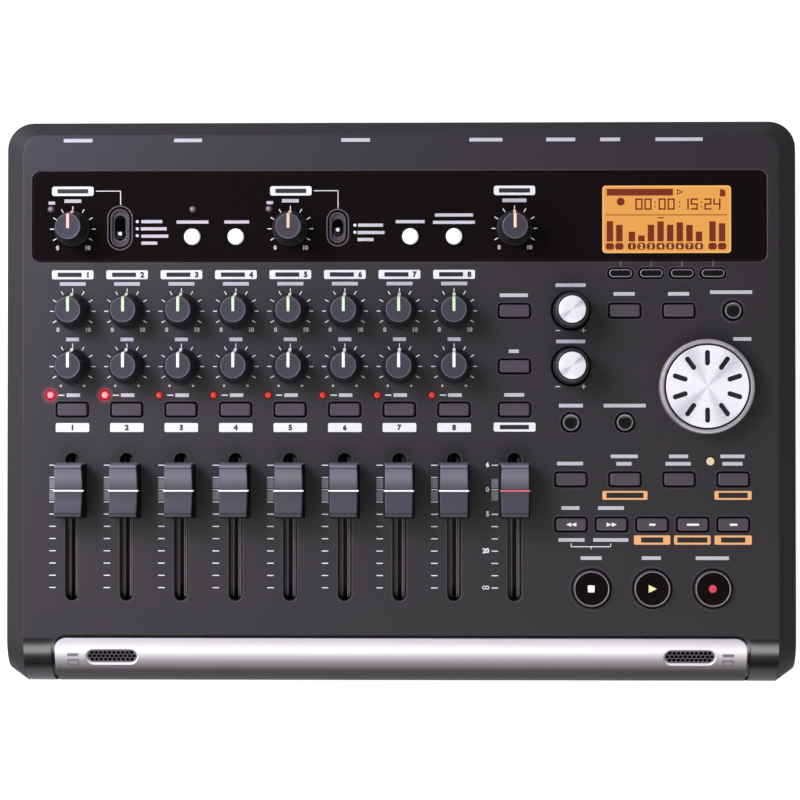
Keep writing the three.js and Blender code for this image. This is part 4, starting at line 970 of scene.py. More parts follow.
def on_roll(points, side):
    """Points about a microphone's middle, z off the roll there, in deck millimetres."""
    angle = np.arcsin(MIC[1] / ROLL)
    x, y, z = np.asarray(points, float).T
    across, out = np.array([np.cos(angle), np.sin(angle)]), np.array([-np.sin(angle), np.cos(angle)])
    middle = np.array([-ROLL * np.sin(angle), ROLL * np.cos(angle) - ROLL])
    place = middle + y[:, None] * across + z[:, None] * out
    return np.column_stack([x + side * MIC[0], place])


def microphone(side, node):
    """A lining whose walls draw in, down to a mesh of six-sided holes over a black back."""
    lining = [(0.45, -0.15), (0.2, -0.4), (-0.15, -0.75), (-0.3, -1.1)]
    bezel = sheet([at_height(mic_ring(room), z) for room, z in lining], closed=True)
    holes = []
    for row in range(-3, 4):
        for i in range(-10, 11):
            x, y = (i + 0.5 * (row % 2)) * MESH_PITCH, row * MESH_PITCH * MESH_ROWS
            reach = max(abs(x) - (MIC_SIZE[0] - MIC_SIZE[1]) / 2, 0)
            if np.hypot(reach, y) < MIC_SIZE[1] / 2 - 0.3:
                holes.append(arc((x, y), MESH_HOLE, 30, 390, 6)[:-1])
    mesh = slab([mic_ring(0.65)] + holes, -1.05, -0.85, [0.0] + [0.06] * len(holes), 1)
    back = slab([mic_ring(0.0)], -1.4, -1.3)
    parts = [((on_roll(points, side), faces), look)
             for (points, faces), look in ((bezel, LINING), (mesh, MESH), (back, VOID))]
    build(node + "_dressed", parts, "case", replaces=[node], smooth=40)


# Controls. Each is made about its own middle and moved to its place on the deck.


def dress(node, parts, x, y, smooth):
    """Builds the piece that stands for a control's node, its parts moved to a place of the deck."""
    build(node + "_dressed", [(moved(surface, x, y), look) for surface, look in parts], body_of[node],
          replaces=[node], smooth=smooth)


def bar(x, y, length, width, low, high):
    """A small block about x, y."""
    left, right, front, rear = x - length / 2, x + length / 2, y - width / 2, y + width / 2
    return slab([[(left, front), (right, front), (right, rear), (left, rear)]], low, high)


def side_band(profile, width, lift):
    """A band down the +Y side of a turned body: its profile moved out by lift, across a width."""
    across = np.linspace(-width / 2, width / 2, 3)
    grid = np.array([[(x, np.sqrt(max(r + lift, 0) ** 2 - x * x), z) for x in across] for r, z in profile])
    inner = grid - [0, 2 * lift, 0]
    return gather(sheet(grid), sheet([grid[:, 0], inner[:, 0]]), sheet([grid[:, -1], inner[:, -1]]))


def knob(node, x, y, mark):
    """A small knob: a skirt, a fluted body with a flat matt top, and a pointer over its top and side; its
    body is painted darker than its top as shade, and the top's edge lighter as a painted highlight.
    """
    body = [(3.3, 0.6), (6.3, 0.6), (6.5, 0.8), (6.5, 1.7), (6.35, 2.1), (6.0, 2.35), (5.75, 2.7),
            (5.55, 3.6), (5.25, 6.2), (4.95, 9.4), (4.72, 12.2), (4.62, 12.7), (4.5, 12.92), (4.3, 13.0)]
    edge = [(4.62, 12.72), (4.53, 12.94), (4.4, 13.01), (4.27, 13.0)]
    pointer = [(4.3, 13.06), (4.62, 12.8), (4.75, 12.0), (5.0, 9.2), (5.3, 6.0), (5.6, 3.4), (5.85, 2.7),
               (6.3, 2.4), (6.5, 1.9), (6.56, 0.9)]

    def flutes(angle, row):
        return np.where((row >= 6) & (row <= 10), 0.06 * np.cos(24 * angle), 0.0)

    disc = slab([circle(0, 0, 3.9, 96)], 12.6, 12.93)
    rib = slab([rounded(0, 1.85, 1.05, 5.0, 0.2, 2)], 12.7, 13.08, 0.08, 2)
    # the body takes a darker plastic as painted shade, the top's edge a lighter one as a painted highlight
    parts = [(lathe(body, 96, flutes), KNOB_SIDE_SHADE), (lathe(edge, 96), KNOB_EDGE_HIGHLIGHT),
             (lathe([(4.3, 13.0), (3.9, 12.93)], 96), KNOB), (disc, KNOB), (rib, mark),
             (side_band(pointer, 1.0, 0.12), mark)]
    dress(node, parts, x, y, 30)


def eq_knob(node, x, y):
    """An endless knob: a dark fluted side and a spun metal cap with a finely notched edge."""
    side = [(3.3, 0.6), (6.45, 0.6), (6.6, 0.8), (6.5, 6.0), (6.3, 11.2), (6.15, 11.8), (5.95, 12.05),
            (5.5, 12.2), (5.3, 12.1), (5.2, 11.8), (0.5, 11.8)]
    cap = [(4.95, 11.9), (4.95, 12.85), (4.83, 13.05), (4.68, 13.1), (2.2, 13.1), (0.01, 13.1)]

    def flutes(angle, row):
        return np.where((row >= 2) & (row <= 4), 0.09 * np.cos(36 * angle), 0.0)

    def notches(angle, row):
        return np.where(row <= 2, 0.07 * np.cos(30 * angle), 0.0)

    build(node + "_side", [(moved(lathe(side, 180, flutes), x, y), EQ_SIDE)], body_of[node],
          replaces=[node], smooth=30)
    build(node + "_cap", [(moved(lathe(cap, 180, notches), x, y), SPUN_CAP)], body_of[node],
          smooth=30, spin=True)


def data_wheel(x, y):
    """The big wheel: a ring with a groove round a spun disc that has ten slots."""
    ring = [(3.3, 0.6), (17.0, 0.6), (17.3, 0.9), (17.3, 5.2), (17.2, 5.9), (16.95, 6.35), (16.6, 6.5),
            (16.1, 6.55), (15.85, 6.45), (15.65, 6.0), (15.6, 5.4), (3.3, 5.4)]
    slots = []
    for turn in np.radians(36 * np.arange(10)):
        cos, sin = np.cos(turn), np.sin(turn)
        slots.append(pill(0, 10.4, 1.8, 5.6, 8) @ np.array([[cos, sin], [-sin, cos]]))
    disc = slab([circle(0, 0, 15.0, 144)] + slots, 5.0, 6.8, [0.2] + [0.14] * len(slots), 3)
    floor = slab([circle(0, 0, 14.6, 48)], 5.6, 5.9)
    groove = slab([circle(0, 0, 15.62, 144), circle(0, 0, 14.7, 144)], 5.42, 5.5)
    build("wheel_ring", [(moved(lathe(ring, 144), x, y), SPUN_RING)], "data_wheel", replaces=["data_wheel"],
          smooth=30, spin=True)
    build("wheel_disc", [(moved(disc, x, y), SPUN)], "data_wheel", smooth=30, spin=True)
    build("wheel_slots", [(moved(floor, x, y), DARK), (moved(groove, x, y), DARK)], "data_wheel",
          smooth=30)


def fader(node, x, mark):
    """A fader's cap on its lever: dished, with drafted sides, rounded edges and a line across it; its sides,
    ends and grooves are painted darker than its top as shade.
    """
    half, low, top, dish = 10.2, 2.4, 12.8, 2.3
    wide, draft, radius = 5.6, 0.65, 0.45
    hollow = [(share * (half - 1.75), top - dish * (1 - share * share)) for share in np.linspace(-1, 1, 25)]
    path = [(-half, low), (-half + 0.35, low + 5.0), (-half + 0.62, top - 1.0), (-half + 0.8, top - 0.45)]
    path = np.array(path + hollow + [(-py, pz) for py, pz in path[::-1]])
    ahead = np.gradient(path, axis=0)
    ahead /= np.linalg.norm(ahead, axis=1, keepdims=True)
    inward = np.column_stack([ahead[:, 1], -ahead[:, 0]])
    turn = np.radians(np.linspace(90, 0, 5))
    rows = []
    for (py, pz), way in zip(path, inward):
        width = wide - draft * (pz - low) / (top - low)
        side = [(width - radius + radius * np.sin(t), radius * (1 - np.cos(t))) for t in turn]
        across = [(-w, depth) for w, depth in side] + [(w, depth) for w, depth in side[::-1]]
        rows.append([(w, py + way[0] * depth, pz + way[1] * depth) for w, depth in across])
    rows = np.array(rows)
    cheeks = [(rows[:, column], [tuple(range(len(rows)))]) for column in (0, -1)]
    under = (np.concatenate([rows[0], rows[-1]]), [tuple(range(2 * rows.shape[1]))])
    sides = gather(sheet(rows[:4]), *cheeks, under)
    line = slab([rounded(0, 0, 11.0, 0.62, 0.2, 2)], top - dish - 2.2, top - dish + 0.2, 0.15, 2)
    lever = bar(0, 0, 1.2, 6.0, -8.4, low + 0.2)
    grooves = [bar(0, side * (half - 2.0), 10.1, 0.2, top - 0.5, top - 0.05) for side in (-1, 1)]
    # the grooves, the sides and the ends get the cap's plastic painted dark as shade
    parts = [(groove, FADER_SHADE) for groove in grooves]
    parts += [(sheet(rows[3:]), FADER), (sides, FADER_SHADE), (line, mark), (lever, DARK)]
    dress(node, parts, x, FADER_ROW, 35)


def bar_key(x, y):
    """A rectangular key with rounded corners, a rounded edge and a slightly raised middle."""
    return slab([rounded(x, y, *KEY_SIZE, 0.8, 4)], KEY_FOOT, 1.25, 0.55, 5)


def soft_key(x, y):
    """A pill key of the display: its glossy body and the fine rim on it, painted light grey as the highlight
    on the key's rounded edge.
    """
    rim_shape = [wider(pill, x, y, SOFT_SIZE, -0.075), wider(pill, x, y, SOFT_SIZE, -0.5)]
    return [(slab([pill(x, y, *SOFT_SIZE)], KEY_FOOT, 0.6, 0.2, 3), BLACK_KEY),
            (slab(rim_shape, 0.3, 0.95, [0.3, 0.1], 4), KEY_RIM_HIGHLIGHT)]


def dark_round(x, y):
    """A round key with a glossy body, a fine rim painted light grey as the highlight on its edge, and a
    dished top.
    """
    dome = [(0.01, KEY_FOOT), (3.1, KEY_FOOT), (3.1, 0.8), (3.02, 0.95)]
    rim_line = [(3.02, 0.95), (2.92, 1.25), (2.72, 1.42), (2.5, 1.36)]
    dish = [(2.5, 1.36), (2.2, 1.22), (1.2, 1.08), (0.01, 1.05)]
    lines = ((dome, BLACK_KEY), (rim_line, KEY_RIM_HIGHLIGHT), (dish, BLACK_KEY))
    return [(moved(lathe(line, 48), x, y), look) for line, look in lines]


def white_round(x, y):
    """A round white key with a domed top."""
    full = [(0.01, KEY_FOOT), (3.0, KEY_FOOT), (3.0, 0.8), (2.9, 1.1), (2.6, 1.3), (1.6, 1.45), (0.01, 1.5)]
    return [(moved(lathe(full, 48), x, y), WHITE_KEY)]


def keys():
    """Every key row: its caps, and the web that joins them under the deck."""
    rows = {name: [(bar_key(x, y), KEY) for x, y in places] for name, places in BARS.items()}
    rows["display_keys"] = [part for x, y in SOFT_KEYS for part in soft_key(x, y)]
    for name, places in DARK_ROUNDS.items():
        rows.setdefault(name, []).extend(part for x, y in places for part in dark_round(x, y))
    for name, places in WHITE_ROUNDS.items():
        rows[name] = [part for x in places for part in white_round(x, PANEL_KEY_ROW)]
    for name, caps in rows.items():
        points = np.concatenate([surface[0] for surface, _ in caps])
        low, high = points.min(0)[:2] - 1.2, points.max(0)[:2] + 1.2
        web = bar(*(low + high) / 2, *(high - low), *WEB)
        symbols = key_symbols() if name == "wind_keys" else []
        build(name + "_dressed", caps + [(web, DARK)] + symbols, body_of[name], replaces=[name], smooth=35)


def triangle(x, y, length, width, low, high):
    """A flat arrow head that points along +X, or along -X when its length is negative."""
    tail, tip = x - length / 2, x + length / 2
    return slab([[(tail, y - width / 2), (tip, y), (tail, y + width / 2)]], low, high)


def key_symbols():
    """Double arrows on the two wind keys, and plain bars on the three beside them."""
    marks = []
    for x, way in ((WINDS[0], -1), (WINDS[1], 1)):
        marks += [triangle(x + shift, WIND_ROW, 1.85 * way, 1.5, *KEY_SIGN) for shift in (-0.95, 0.95)]
    marks += [bar(x, WIND_ROW, length, 0.75, *KEY_SIGN) for x, length in zip(WINDS[2:], (2.2, 4.4, 2.8))]
    return [(mark, WHITE_MARK) for mark in marks]


def transport(node, x, sign, look):
    """A round transport button: a dished glossy face inside a polished rim, with its sign; the rim is
    painted light grey as its highlight.
    """
    base = [(0.01, -2.7), (6.75, -2.7), (6.8, 1.0), (6.7, 1.2), (6.45, 1.3), (6.35, 1.6)]
    ring = [(6.35, 1.6), (6.36, 1.85), (6.28, 2.02), (6.15, 2.02), (6.06, 1.9), (6.0, 1.75)]
    face = [(6.0, 1.75), (5.2, 1.62), (3.0, 1.52), (0.01, 1.5)]
    lines = ((base, BUTTON_SKIRT), (ring, BUTTON_RIM_HIGHLIGHT), (face, GLOSS))
    parts = [(lathe(line, 96), finish) for line, finish in lines] + [(sign, look)]
    dress(node, parts, x, TRANSPORT_ROW, 30)


def lip_outlines(room):
    """The outlines of the fine lines round keys, buttons, slots and panel, grown by room."""
    rounds = [(x, y, ROUND_HOLE) for x, y in places_in(DARK_ROUNDS)]
    rounds.append((COLUMNS[3], REVERB_ROW, ROUND_HOLE + 0.5))
    shapes = [wider(rounded, x, y, KEY_HOLE, room, KEY_CORNER + room, 4) for x, y in places_in(BARS)]
    shapes += [wider(pill, x, y, SOFT_HOLE, room) for x, y in SOFT_KEYS]
    shapes += [circle(x, y, radius + room, 48) for x, y, radius in rounds]
    shapes += [wider(pill, x, SLOT_ROW, SLOT_SIZE, room) for x, _ in FADERS.values()]
    shapes += [circle(x, TRANSPORT_ROW, TRANSPORT_HOLE + 0.4 + room, 96) for x in TRANSPORTS]
    return shapes + [panel_outline(0.3 + room)]


def lips():
    """Fine raised lines on the deck round its keys, buttons, slots and panel, painted lighter than the deck
    as the highlight on the holes' edges.
    """
    pairs = zip(lip_outlines(0.6), lip_outlines(0.36))
    parts = [(slab([outer, inner], -0.1, 0.05, 0.05, 2), LIP_HIGHLIGHT) for outer, inner in pairs]
    build("lips", parts, "case", smooth=50)


def slide_switch(node, x, width, length, travel):
    """A slide switch: its sunk bezel and dish in the panel, the bezel's outer ridge painted lighter as its
    highlight, and the tip that moves, with a white dot on it painted as its glint.
    """
    outer = [(0.0, -0.9), (0.0, 0.1), (0.12, 0.22), (0.3, 0.22), (0.42, 0.1), (0.42, -0.9)]
    gap = [(0.42, -0.85), (1.15, -0.85)]
    inner = [(1.1, -0.9), (1.1, -0.3), (1.3, -0.05), (1.6, 0.0), (1.85, -0.1), (2.05, -0.4), (2.1, -0.9)]

    def rings(section):
        size = (width - 0.5, length - 0.5)
        lines = [at_height(wider(pill, 0, 0, size, -inward, 14), z) for inward, z in section]
        return sheet(lines, closed=True)

    slot = pill(0, 0, SWITCH_SLOT, travel + SWITCH_SLOT, 10)
    plate = slab([pill(0, 0, width - 4.6, length - 4.6, 14), slot], -1.2, -0.85, [0.0, 0.15], 2)
    # the bezel's outer ridge takes a lighter gloss, painted as the highlight on its edge
    parts = [(rings(outer), BEZEL_HIGHLIGHT), (rings(gap), GLOSS), (rings(inner), KEY), (plate, KEY)]
    build(node + "_bezel", [(moved(surface, x, SWITCH_ROW), look) for surface, look in parts], "case",
          smooth=40)
    tip = slab([rounded(0, -travel / 2, 3.0, 3.0, 0.7, 4)], -5.8, -0.5, 0.5, 4)
    # a white dot on the tip, painted as its glint
    glint_dot = slab([circle(0, -travel / 2 + 0.5, 0.72, 24)], -0.6, -0.2, 0.3, 3)
    lever = bar(0, -travel / 2, 1.6, 1.6, -8.4, -5.0)
    dress(node, [(tip, BLACK_KEY), (glint_dot, WHITE_KEY), (lever, DARK)], x, SWITCH_ROW, 35)


def controls():
    """All the controls of the deck."""
    for node, (x, y, mark) in KNOBS.items():
        knob(node, x, y, mark)
    for node, place in EQ_KNOBS.items():
        eq_knob(node, *place)
    data_wheel(*WHEEL)
    for node, (x, mark) in FADERS.items():
        fader(node, x, mark)
    keys()
    lips()
    square = slab([rounded(-0.2, 0, 2.45, 2.55, 0.2, 2)], *BUTTON_SIGN)
    arrow = triangle(0.1, 0, 3.0, 2.9, *BUTTON_SIGN)
    dot = round_print(-0.2, 0, 1.42, 40, *BUTTON_SIGN)
    signs = ((square, STOP_MARK), (arrow, PLAY_MARK), (dot, RECORD_MARK))
    for node, x, (sign, look) in zip(("stop_button", "play_button", "record_button"), TRANSPORTS, signs):
        transport(node, x, sign, look)
    for node, place in SWITCHES.items():
        slide_switch(node, *place)


# Panel, display, lamps and print


def gloss_panel():
    """The polished panel with its holes and the window of the display."""
    holes = [circle(KNOBS[name][0], PANEL_KNOB_ROW, SHAFT_HOLE, 32) for name in PANEL_KNOBS]
    holes += [circle(x, PANEL_KEY_ROW, ROUND_HOLE, 40) for x in PANEL_KEYS]
    holes += [pill(x, SWITCH_ROW, width, length, 14) for x, width, length, _ in SWITCHES.values()]
    holes.append(rounded(*LCD, *LCD_SIZE, 1.2, 5))
    panel = slab([panel_outline()] + holes, -1.0, 0, [0.2] + [0.12] * (len(holes) - 1) + [0.02], 3)
    build("panel", [(panel, GLOSS)], "case", replaces=["gloss_panel"], smooth=35)


def px(x, y):
    """A place of the photograph, in its pixels, as deck millimetres."""
    return (x - PHOTO_MIDDLE[0]) / PX, MIDDLE_ROW - (y - PHOTO_MIDDLE[1]) / PX


def deck_row(row):
    """A row of the photograph as a place up the deck."""
    return px(0, row)[1]


def column(x):
    """A place across the deck as the photograph's column."""
    return PHOTO_MIDDLE[0] + x * PX


def round_print(x, y, radius, steps, low=0.0, high=INK):
    """A flat round print."""
    return slab([circle(x, y, radius, steps)], low, high)


def stroke(x0, y0, x1, y1, high=INK, low=0.0, corner=0.0):
    """A printed block between two places of the photograph."""
    (ax, ay), (bx, by) = px(x0, y0), px(x1, y1)
    x, y, length, width = (ax + bx) / 2, (ay + by) / 2, abs(bx - ax), abs(by - ay)
    if corner:
        return slab([rounded(x, y, length, width, corner, 4)], low, high)
    return bar(x, y, length, width, low, high)


# The display, in the photograph's pixels
SEGMENTS = {"0": "abcdef", "1": "bc", "2": "abged", "4": "fgbc", "5": "afgcd"}
FIGURE = (7.2, 11.3, 1.5)  # a figure's width, height and stroke
FIGURE_ROW = 198.8
COUNTER = list(zip((635.7, 644.7, 658.8, 667.8, 681.8, 690.8, 704.4, 713.4), "00001524"))
COLON_COLUMNS, COLON_ROWS, COLON_DOT = (654.7, 678.9, 700.8), (202, 206.4), 1.4
TITLE_BAR = (607.2, 189.1, 673.2, 195.9)  # left, upper, right and lower side, as of the dash
ARROW = ((677.2, 189.2), (683.4, 192.4), (677.2, 195.6))
PAGE = ((720, 189.8), (723.4, 189.8), (725.4, 191.8), (725.4, 197), (720, 197))
DISC, DISC_RADIUS = (621.1, 201.9), 1.45  # the radius in millimetres
DOTTED_LINE = (606.2, 726, 1.9)  # its first dot, its end and the step between its dots
DOTTED_ROWS, DOTTED_DOT = (214.6, 215.9), 1.1
DASH = (657.6, 217.6, 664.1, 218.7)
LEVEL_FOOT, LEVEL_HALF = 241.8, 3.2  # the lower end of the level bars and half their width
LEVEL_PLATE_ROWS, LEVEL_PLATE_HALF = (243.3, 249.9), 4.1
LEVEL_FIGURE_ROW = 246.6
BARGRAPH = [(610.3, 221.4), (619.7, 225.1), (632.2, 232.0), (641.7, 235.8), (651.2, 225.1), (660.8, 221.8),
            (670.4, 225.1), (680.0, 222.6), (689.6, 225.3), (699.1, 232.0), (712.6, 221.8), (722.1, 223.7)]
FIELD_HEIGHTS = (-1.2, -0.1)  # in millimetres, like the marks'
MARK_HEIGHTS = {"low": -0.1, "high": -0.05}


def segments(figure, x, y):
    """The lit strokes of a seven-stroke figure whose upper left corner is at a pixel of the photograph."""
    width, height, line = FIGURE
    middle = y + height / 2
    left, right = (x, x + line), (x + width - line, x + width)
    upper, lower = (y, middle), (middle, y + height)
    boxes = {"a": (x, y, x + width, y + line), "d": (x, y + height - line, x + width, y + height),
             "g": (x, middle - line / 2, x + width, middle + line / 2)}
    sides = (("b", right, upper), ("c", right, lower), ("e", left, lower), ("f", left, upper))
    boxes.update({name: (x0, y0, x1, y1) for name, (x0, x1), (y0, y1) in sides})
    return [boxes[name] for name in SEGMENTS[figure]]


def display_signs():
    """The upper part of the display: a bar, an arrow, a sheet with a cut corner, a disc and the counter."""
    low, high = MARK_HEIGHTS.values()
    arrow = np.array([px(*corner) for corner in ARROW])
    page = [px(*corner) for corner in PAGE]
    signs = [stroke(*TITLE_BAR, **MARK_HEIGHTS),
             slab([arrow, inset(directed([arrow])[0], 0.35)], low, high),
             slab([page], low, high), round_print(*px(*DISC), DISC_RADIUS, 28, low, high)]
    for x, figure in COUNTER:
        signs += [stroke(*box, **MARK_HEIGHTS) for box in segments(figure, x, FIGURE_ROW)]
    return signs + [stroke(x, y, x + COLON_DOT, y + COLON_DOT, **MARK_HEIGHTS)
                    for x in COLON_COLUMNS for y in COLON_ROWS]


def display_levels():
    """The lower part of the display: a dotted line, the level bars, the plates under them and a dash."""
    upper, lower = DOTTED_ROWS
    marks = [stroke(x, upper, x + DOTTED_DOT, lower, **MARK_HEIGHTS) for x in np.arange(*DOTTED_LINE)]
    half, (plate_top, plate_foot) = LEVEL_PLATE_HALF, LEVEL_PLATE_ROWS
    for x, top in BARGRAPH:
        marks.append(stroke(x - LEVEL_HALF, top, x + LEVEL_HALF, LEVEL_FOOT, **MARK_HEIGHTS))
        marks.append(stroke(x - half, plate_top, x + half, plate_foot, **MARK_HEIGHTS, corner=0.8))
    return marks + [stroke(*DASH, **MARK_HEIGHTS)]


def display():
    """The lit display in the panel's window: level bars, plain figures and marks on an amber field."""
    edge = wider(rounded, *LCD, LCD_SIZE, -0.05, 1.15, 5)
    border = slab([edge, wider(rounded, *LCD, LCD_SIZE, -0.55, 0.8, 5)], -0.2, -0.08)
    high = MARK_HEIGHTS["high"]
    figures = [text_slab(str(i + 1), *px(x, LEVEL_FIGURE_ROW), 1.7, high, high + 0.02)
               for i, (x, _) in enumerate(BARGRAPH[2:10])]
    parts = [(slab([edge], *FIELD_HEIGHTS), AMBER), (border, AMBER_EDGE)]
    parts += [(mark, LCD_INK) for mark in display_signs() + display_levels()]
    parts += [(figure, AMBER_EDGE) for figure in figures]
    build("display", parts, "case", smooth=35)


AMBER_LAMP = (710, 461.4)
GREY_LAMPS = ((49.9, 208.5), (268.9, 208.5), (192.4, 208.7))
LIT_RADIUS, UNLIT_RADIUS, GREY_RADIUS = 1.45, 1.15, 0.95  # in millimetres


def lamp(x, y, radius, look, ring, core=None):
    """A round lamp: a domed lens in a thin ring, with a brighter middle where it has a core."""
    lens = [(radius, -0.2), (radius, 0.1), (radius * 0.85, 0.32), (radius * 0.5, 0.5), (0.01, 0.56)]
    collar = [(radius + 0.02, -0.1), (radius + 0.05, 0.08), (radius + 0.4, 0.08), (radius + 0.48, -0.1)]
    parts = [(moved(lathe(lens, 32), x, y), look), (moved(lathe(collar, 32), x, y), ring)]
    if core:
        middle = [(radius * 0.74, 0.3), (radius * 0.66, 0.56), (0.01, 0.66)]
        parts.append((moved(lathe(middle, 24), x, y), core))
    return parts


def lamps():
    """The record lamps, of which two are lit, and the small lamps of the panel and the key rows."""
    places = [(x - LAMP_SHIFT, deck_row(LAMP_ROW)) for x in TRACKS]
    lit, unlit = places[:2], places[2:]
    for index, place in enumerate(lit):
        halo = round_print(*place, HALO, 64, -0.05, 0.012)
        build(f"lamp_glow_{index + 1}", [(halo, GLOW)], "case", smooth=35, spin=True)
    parts = [part for place in lit for part in lamp(*place, LIT_RADIUS, LAMP_LIT, LAMP_RING, LAMP_CORE)]
    parts += [part for place in unlit for part in lamp(*place, UNLIT_RADIUS, LAMP_RED, LAMP_RING)]
    parts += lamp(*px(*AMBER_LAMP), LIT_RADIUS, LAMP_AMBER, DARK)
    for place in GREY_LAMPS:
        parts += lamp(*px(*place), GREY_RADIUS, LAMP_GREY, DARK)
    build("lamps", parts, "case", smooth=50)


# What is printed, in the photograph's pixels: rows, and words with their middle and width
TRACK_PLATES = ((274.4, 15.3, 0.6), (427.6, 12.3, 0.5))  # row, and length and corner in millimetres
PLATE_WIDTH = 3.3
PAN_WORD_ROW, PAN_FIGURE_ROW, PAN_DOT_ROW, REC_WORD_ROW = 339.3, 329.6, 385.8, 395.2
TRACK_WORD_ROW = 283.6
SCALE_TOP, SCALE_STEP, SCALE_STEPS = 465.3, 12.25, 11
SCALE_X = -7.25  # from a fader's middle, in millimetres
SCALE_BLOCKS = (483.6, 495.9)  # rows of the grey blocks about the scale's zero
SCALE_FIGURE_END = 489.6
SCALE_FIGURES = (("6", 464.7), ("0", 489.5), ("5", 513.8), ("20", 550.5), ("∞", 587.4))
MASTER_PLATE_ROW, MASTER_PLATE_SHAPE = 427.2, (15.3, 0.6)
MASTER_WORD = (514.8, MASTER_PLATE_ROW, 29)
PANEL_FIGURE_ROW, PANEL_WORD_ROW = 247.4, 200.4
PANEL_PLATES = ((51.1, 93.0), (270.3, 311.9), (494.4, 535.7))  # their left and right ends
PANEL_PLATE_TOP, PANEL_PLATE_FOOT = 185.8, 195.2
PLATE_LINES = ((95.2, 120.5, 204.2), (314.2, 338.8, 208.2))  # from a plate to the right, then down
PLATE_LINE_ROW, LINE = 190.0, 0.8  # their row and width
LAMP_WORDS = ((51, 202.3, 6.5), (270, 202.3, 6.5))
SWITCH_WORDS = ((151.5, 221.1, 21), (153.5, 228.3, 26), (154.5, 235.7, 27), (149, 242.7, 16),
                (371, 225, 25), (371.5, 232.4, 27), (366, 239.4, 16), (192.4, 221.6, 32),
                (236.8, 221.6, 25), (410.7, 221.6, 29), (454.5, 215, 38), (454.5, 222.3, 42))
SWITCH_DOTS = ((136.9, 221.1), (136.9, 228.3), (136.9, 235.2), (355.3, 225.0), (355.3, 232.2))
DECK_WORDS = ((77.3, 139.6, 29), (187.8, 139.6, 28), (356, 139.6, 29), (486.5, 139.6, 33),
              (561.3, 139.6, 29), (610.6, 139.6, 20), (679.4, 139.6, 47),
              (514.3, 295.4, 28), (514.3, 351.4, 10), (514.6, 395, 20), (571, 285.4, 30), (571, 341.7, 29),
              (624.3, 294.2, 21), (678.6, 294.2, 21), (731, 292.6, 42), (742, 339.3, 18),
              (571.2, 405.8, 24), (624.8, 405.8, 42), (570.3, 463.6, 26), (624.3, 456.4, 27),
              (624, 463.8, 15), (678.4, 456.4, 19), (678, 463.8, 25), (732, 456.4, 24), (732, 463.8, 20),
              (570.6, 508, 18), (611, 508, 26), (571.6, 539.8, 26), (610.8, 539.8, 35),
              (591.2, 557.9, 21), (651.2, 557.9, 19), (711.8, 557.9, 33))
# Left, right, upper and lower side, and the width of the word
ORANGE_PLATES = ((602.6, 647.4, 490.9, 499.7, 37), (714.1, 751.1, 490.9, 499.7, 29),
                 (633.9, 670.1, 535.2, 544.4, 22), (673.9, 710.1, 535.2, 544.4, 30),
                 (714.1, 751.1, 535.2, 544.4, 24))
BRACKET = ((570.9, 546.1, 611.2, 547.0), (570.9, 543.2, 571.8, 547.0), (610.3, 543.2, 611.2, 547.0),
           (590.8, 547.0, 591.6, 549.2))
SOFT_LINES = (620.8, 651.5, 682.3, 713.0)  # over the keys under the display
SOFT_LINE_TOP, SOFT_LINE_FOOT, SOFT_LINE_HALF = 261.5, 267.0, 0.35  # the last is half their width
EQ_SIGN_ROWS = (330.8, 386.8)
EQ_SIGN_COLUMNS = {"-": 558.2, "+": 583.8}
EQ_SIGN = (2.3, 0.35)  # half the length and half the width of their strokes
# The front strip's marks, with their sizes and the width of their line in millimetres
SIGN_COLUMNS = (72.4, 728.0)
SIGN_ROW, SIGN_WORD_ROW = 663.2, 655.3
SIGN_SIZE, SIGN_LINE, SIGN_WORD_SIZE = (4.2, 2.4), 0.45, (4.1, 1.1)


def ticks(x, y):
    """Nine ticks about a knob at steps of thirty degrees."""
    inner, outer = 6.9, 8.4
    tick = bar((inner + outer) / 2, 0, outer - inner, 0.34, 0.0, INK)
    return [moved(tick, x, y, turn=np.radians(30 * i - 30)) for i in range(9)]


def two_rings(y):
    """The sign at the scale's lower end: two small rings side by side."""
    rings = [slab([circle(x, y, 0.72, 24), circle(x, y, 0.42, 24)], 0.0, INK) for x in (-0.58, 0.58)]
    return gather(*rings)


def plate(x, row, length, corner):
    """A plate about a place across the deck, at a row of the photograph."""
    return slab([rounded(x, deck_row(row), length, PLATE_WIDTH, corner, 4)], 0.0, INK)


def word(x, y, width, height=1.3, low=0.0):
    """A plain bar in place of a word, centred on a place of the photograph."""
    return bar(*px(x, y), width / PX, height, low, low + INK)


def plate_word(x, y, width, height=1.6):
    """A dark bar in place of a word on a plate."""
    return word(x, y, width, height, INK)


def plate_figure(figure, x, row):
    """A dark figure on a plate."""
    return text_slab(figure, x, deck_row(row), 2.2, INK, INK + 0.02, fat=0.062)


def ends_of_scale(x, row, left, right):
    """The two figures at the ends of a knob's scale."""
    y = deck_row(row)
    return [text_slab("0", x + left, y, 1.7, 0.0, INK), text_slab("10", x + right, y, 1.7, 0.0, INK)]


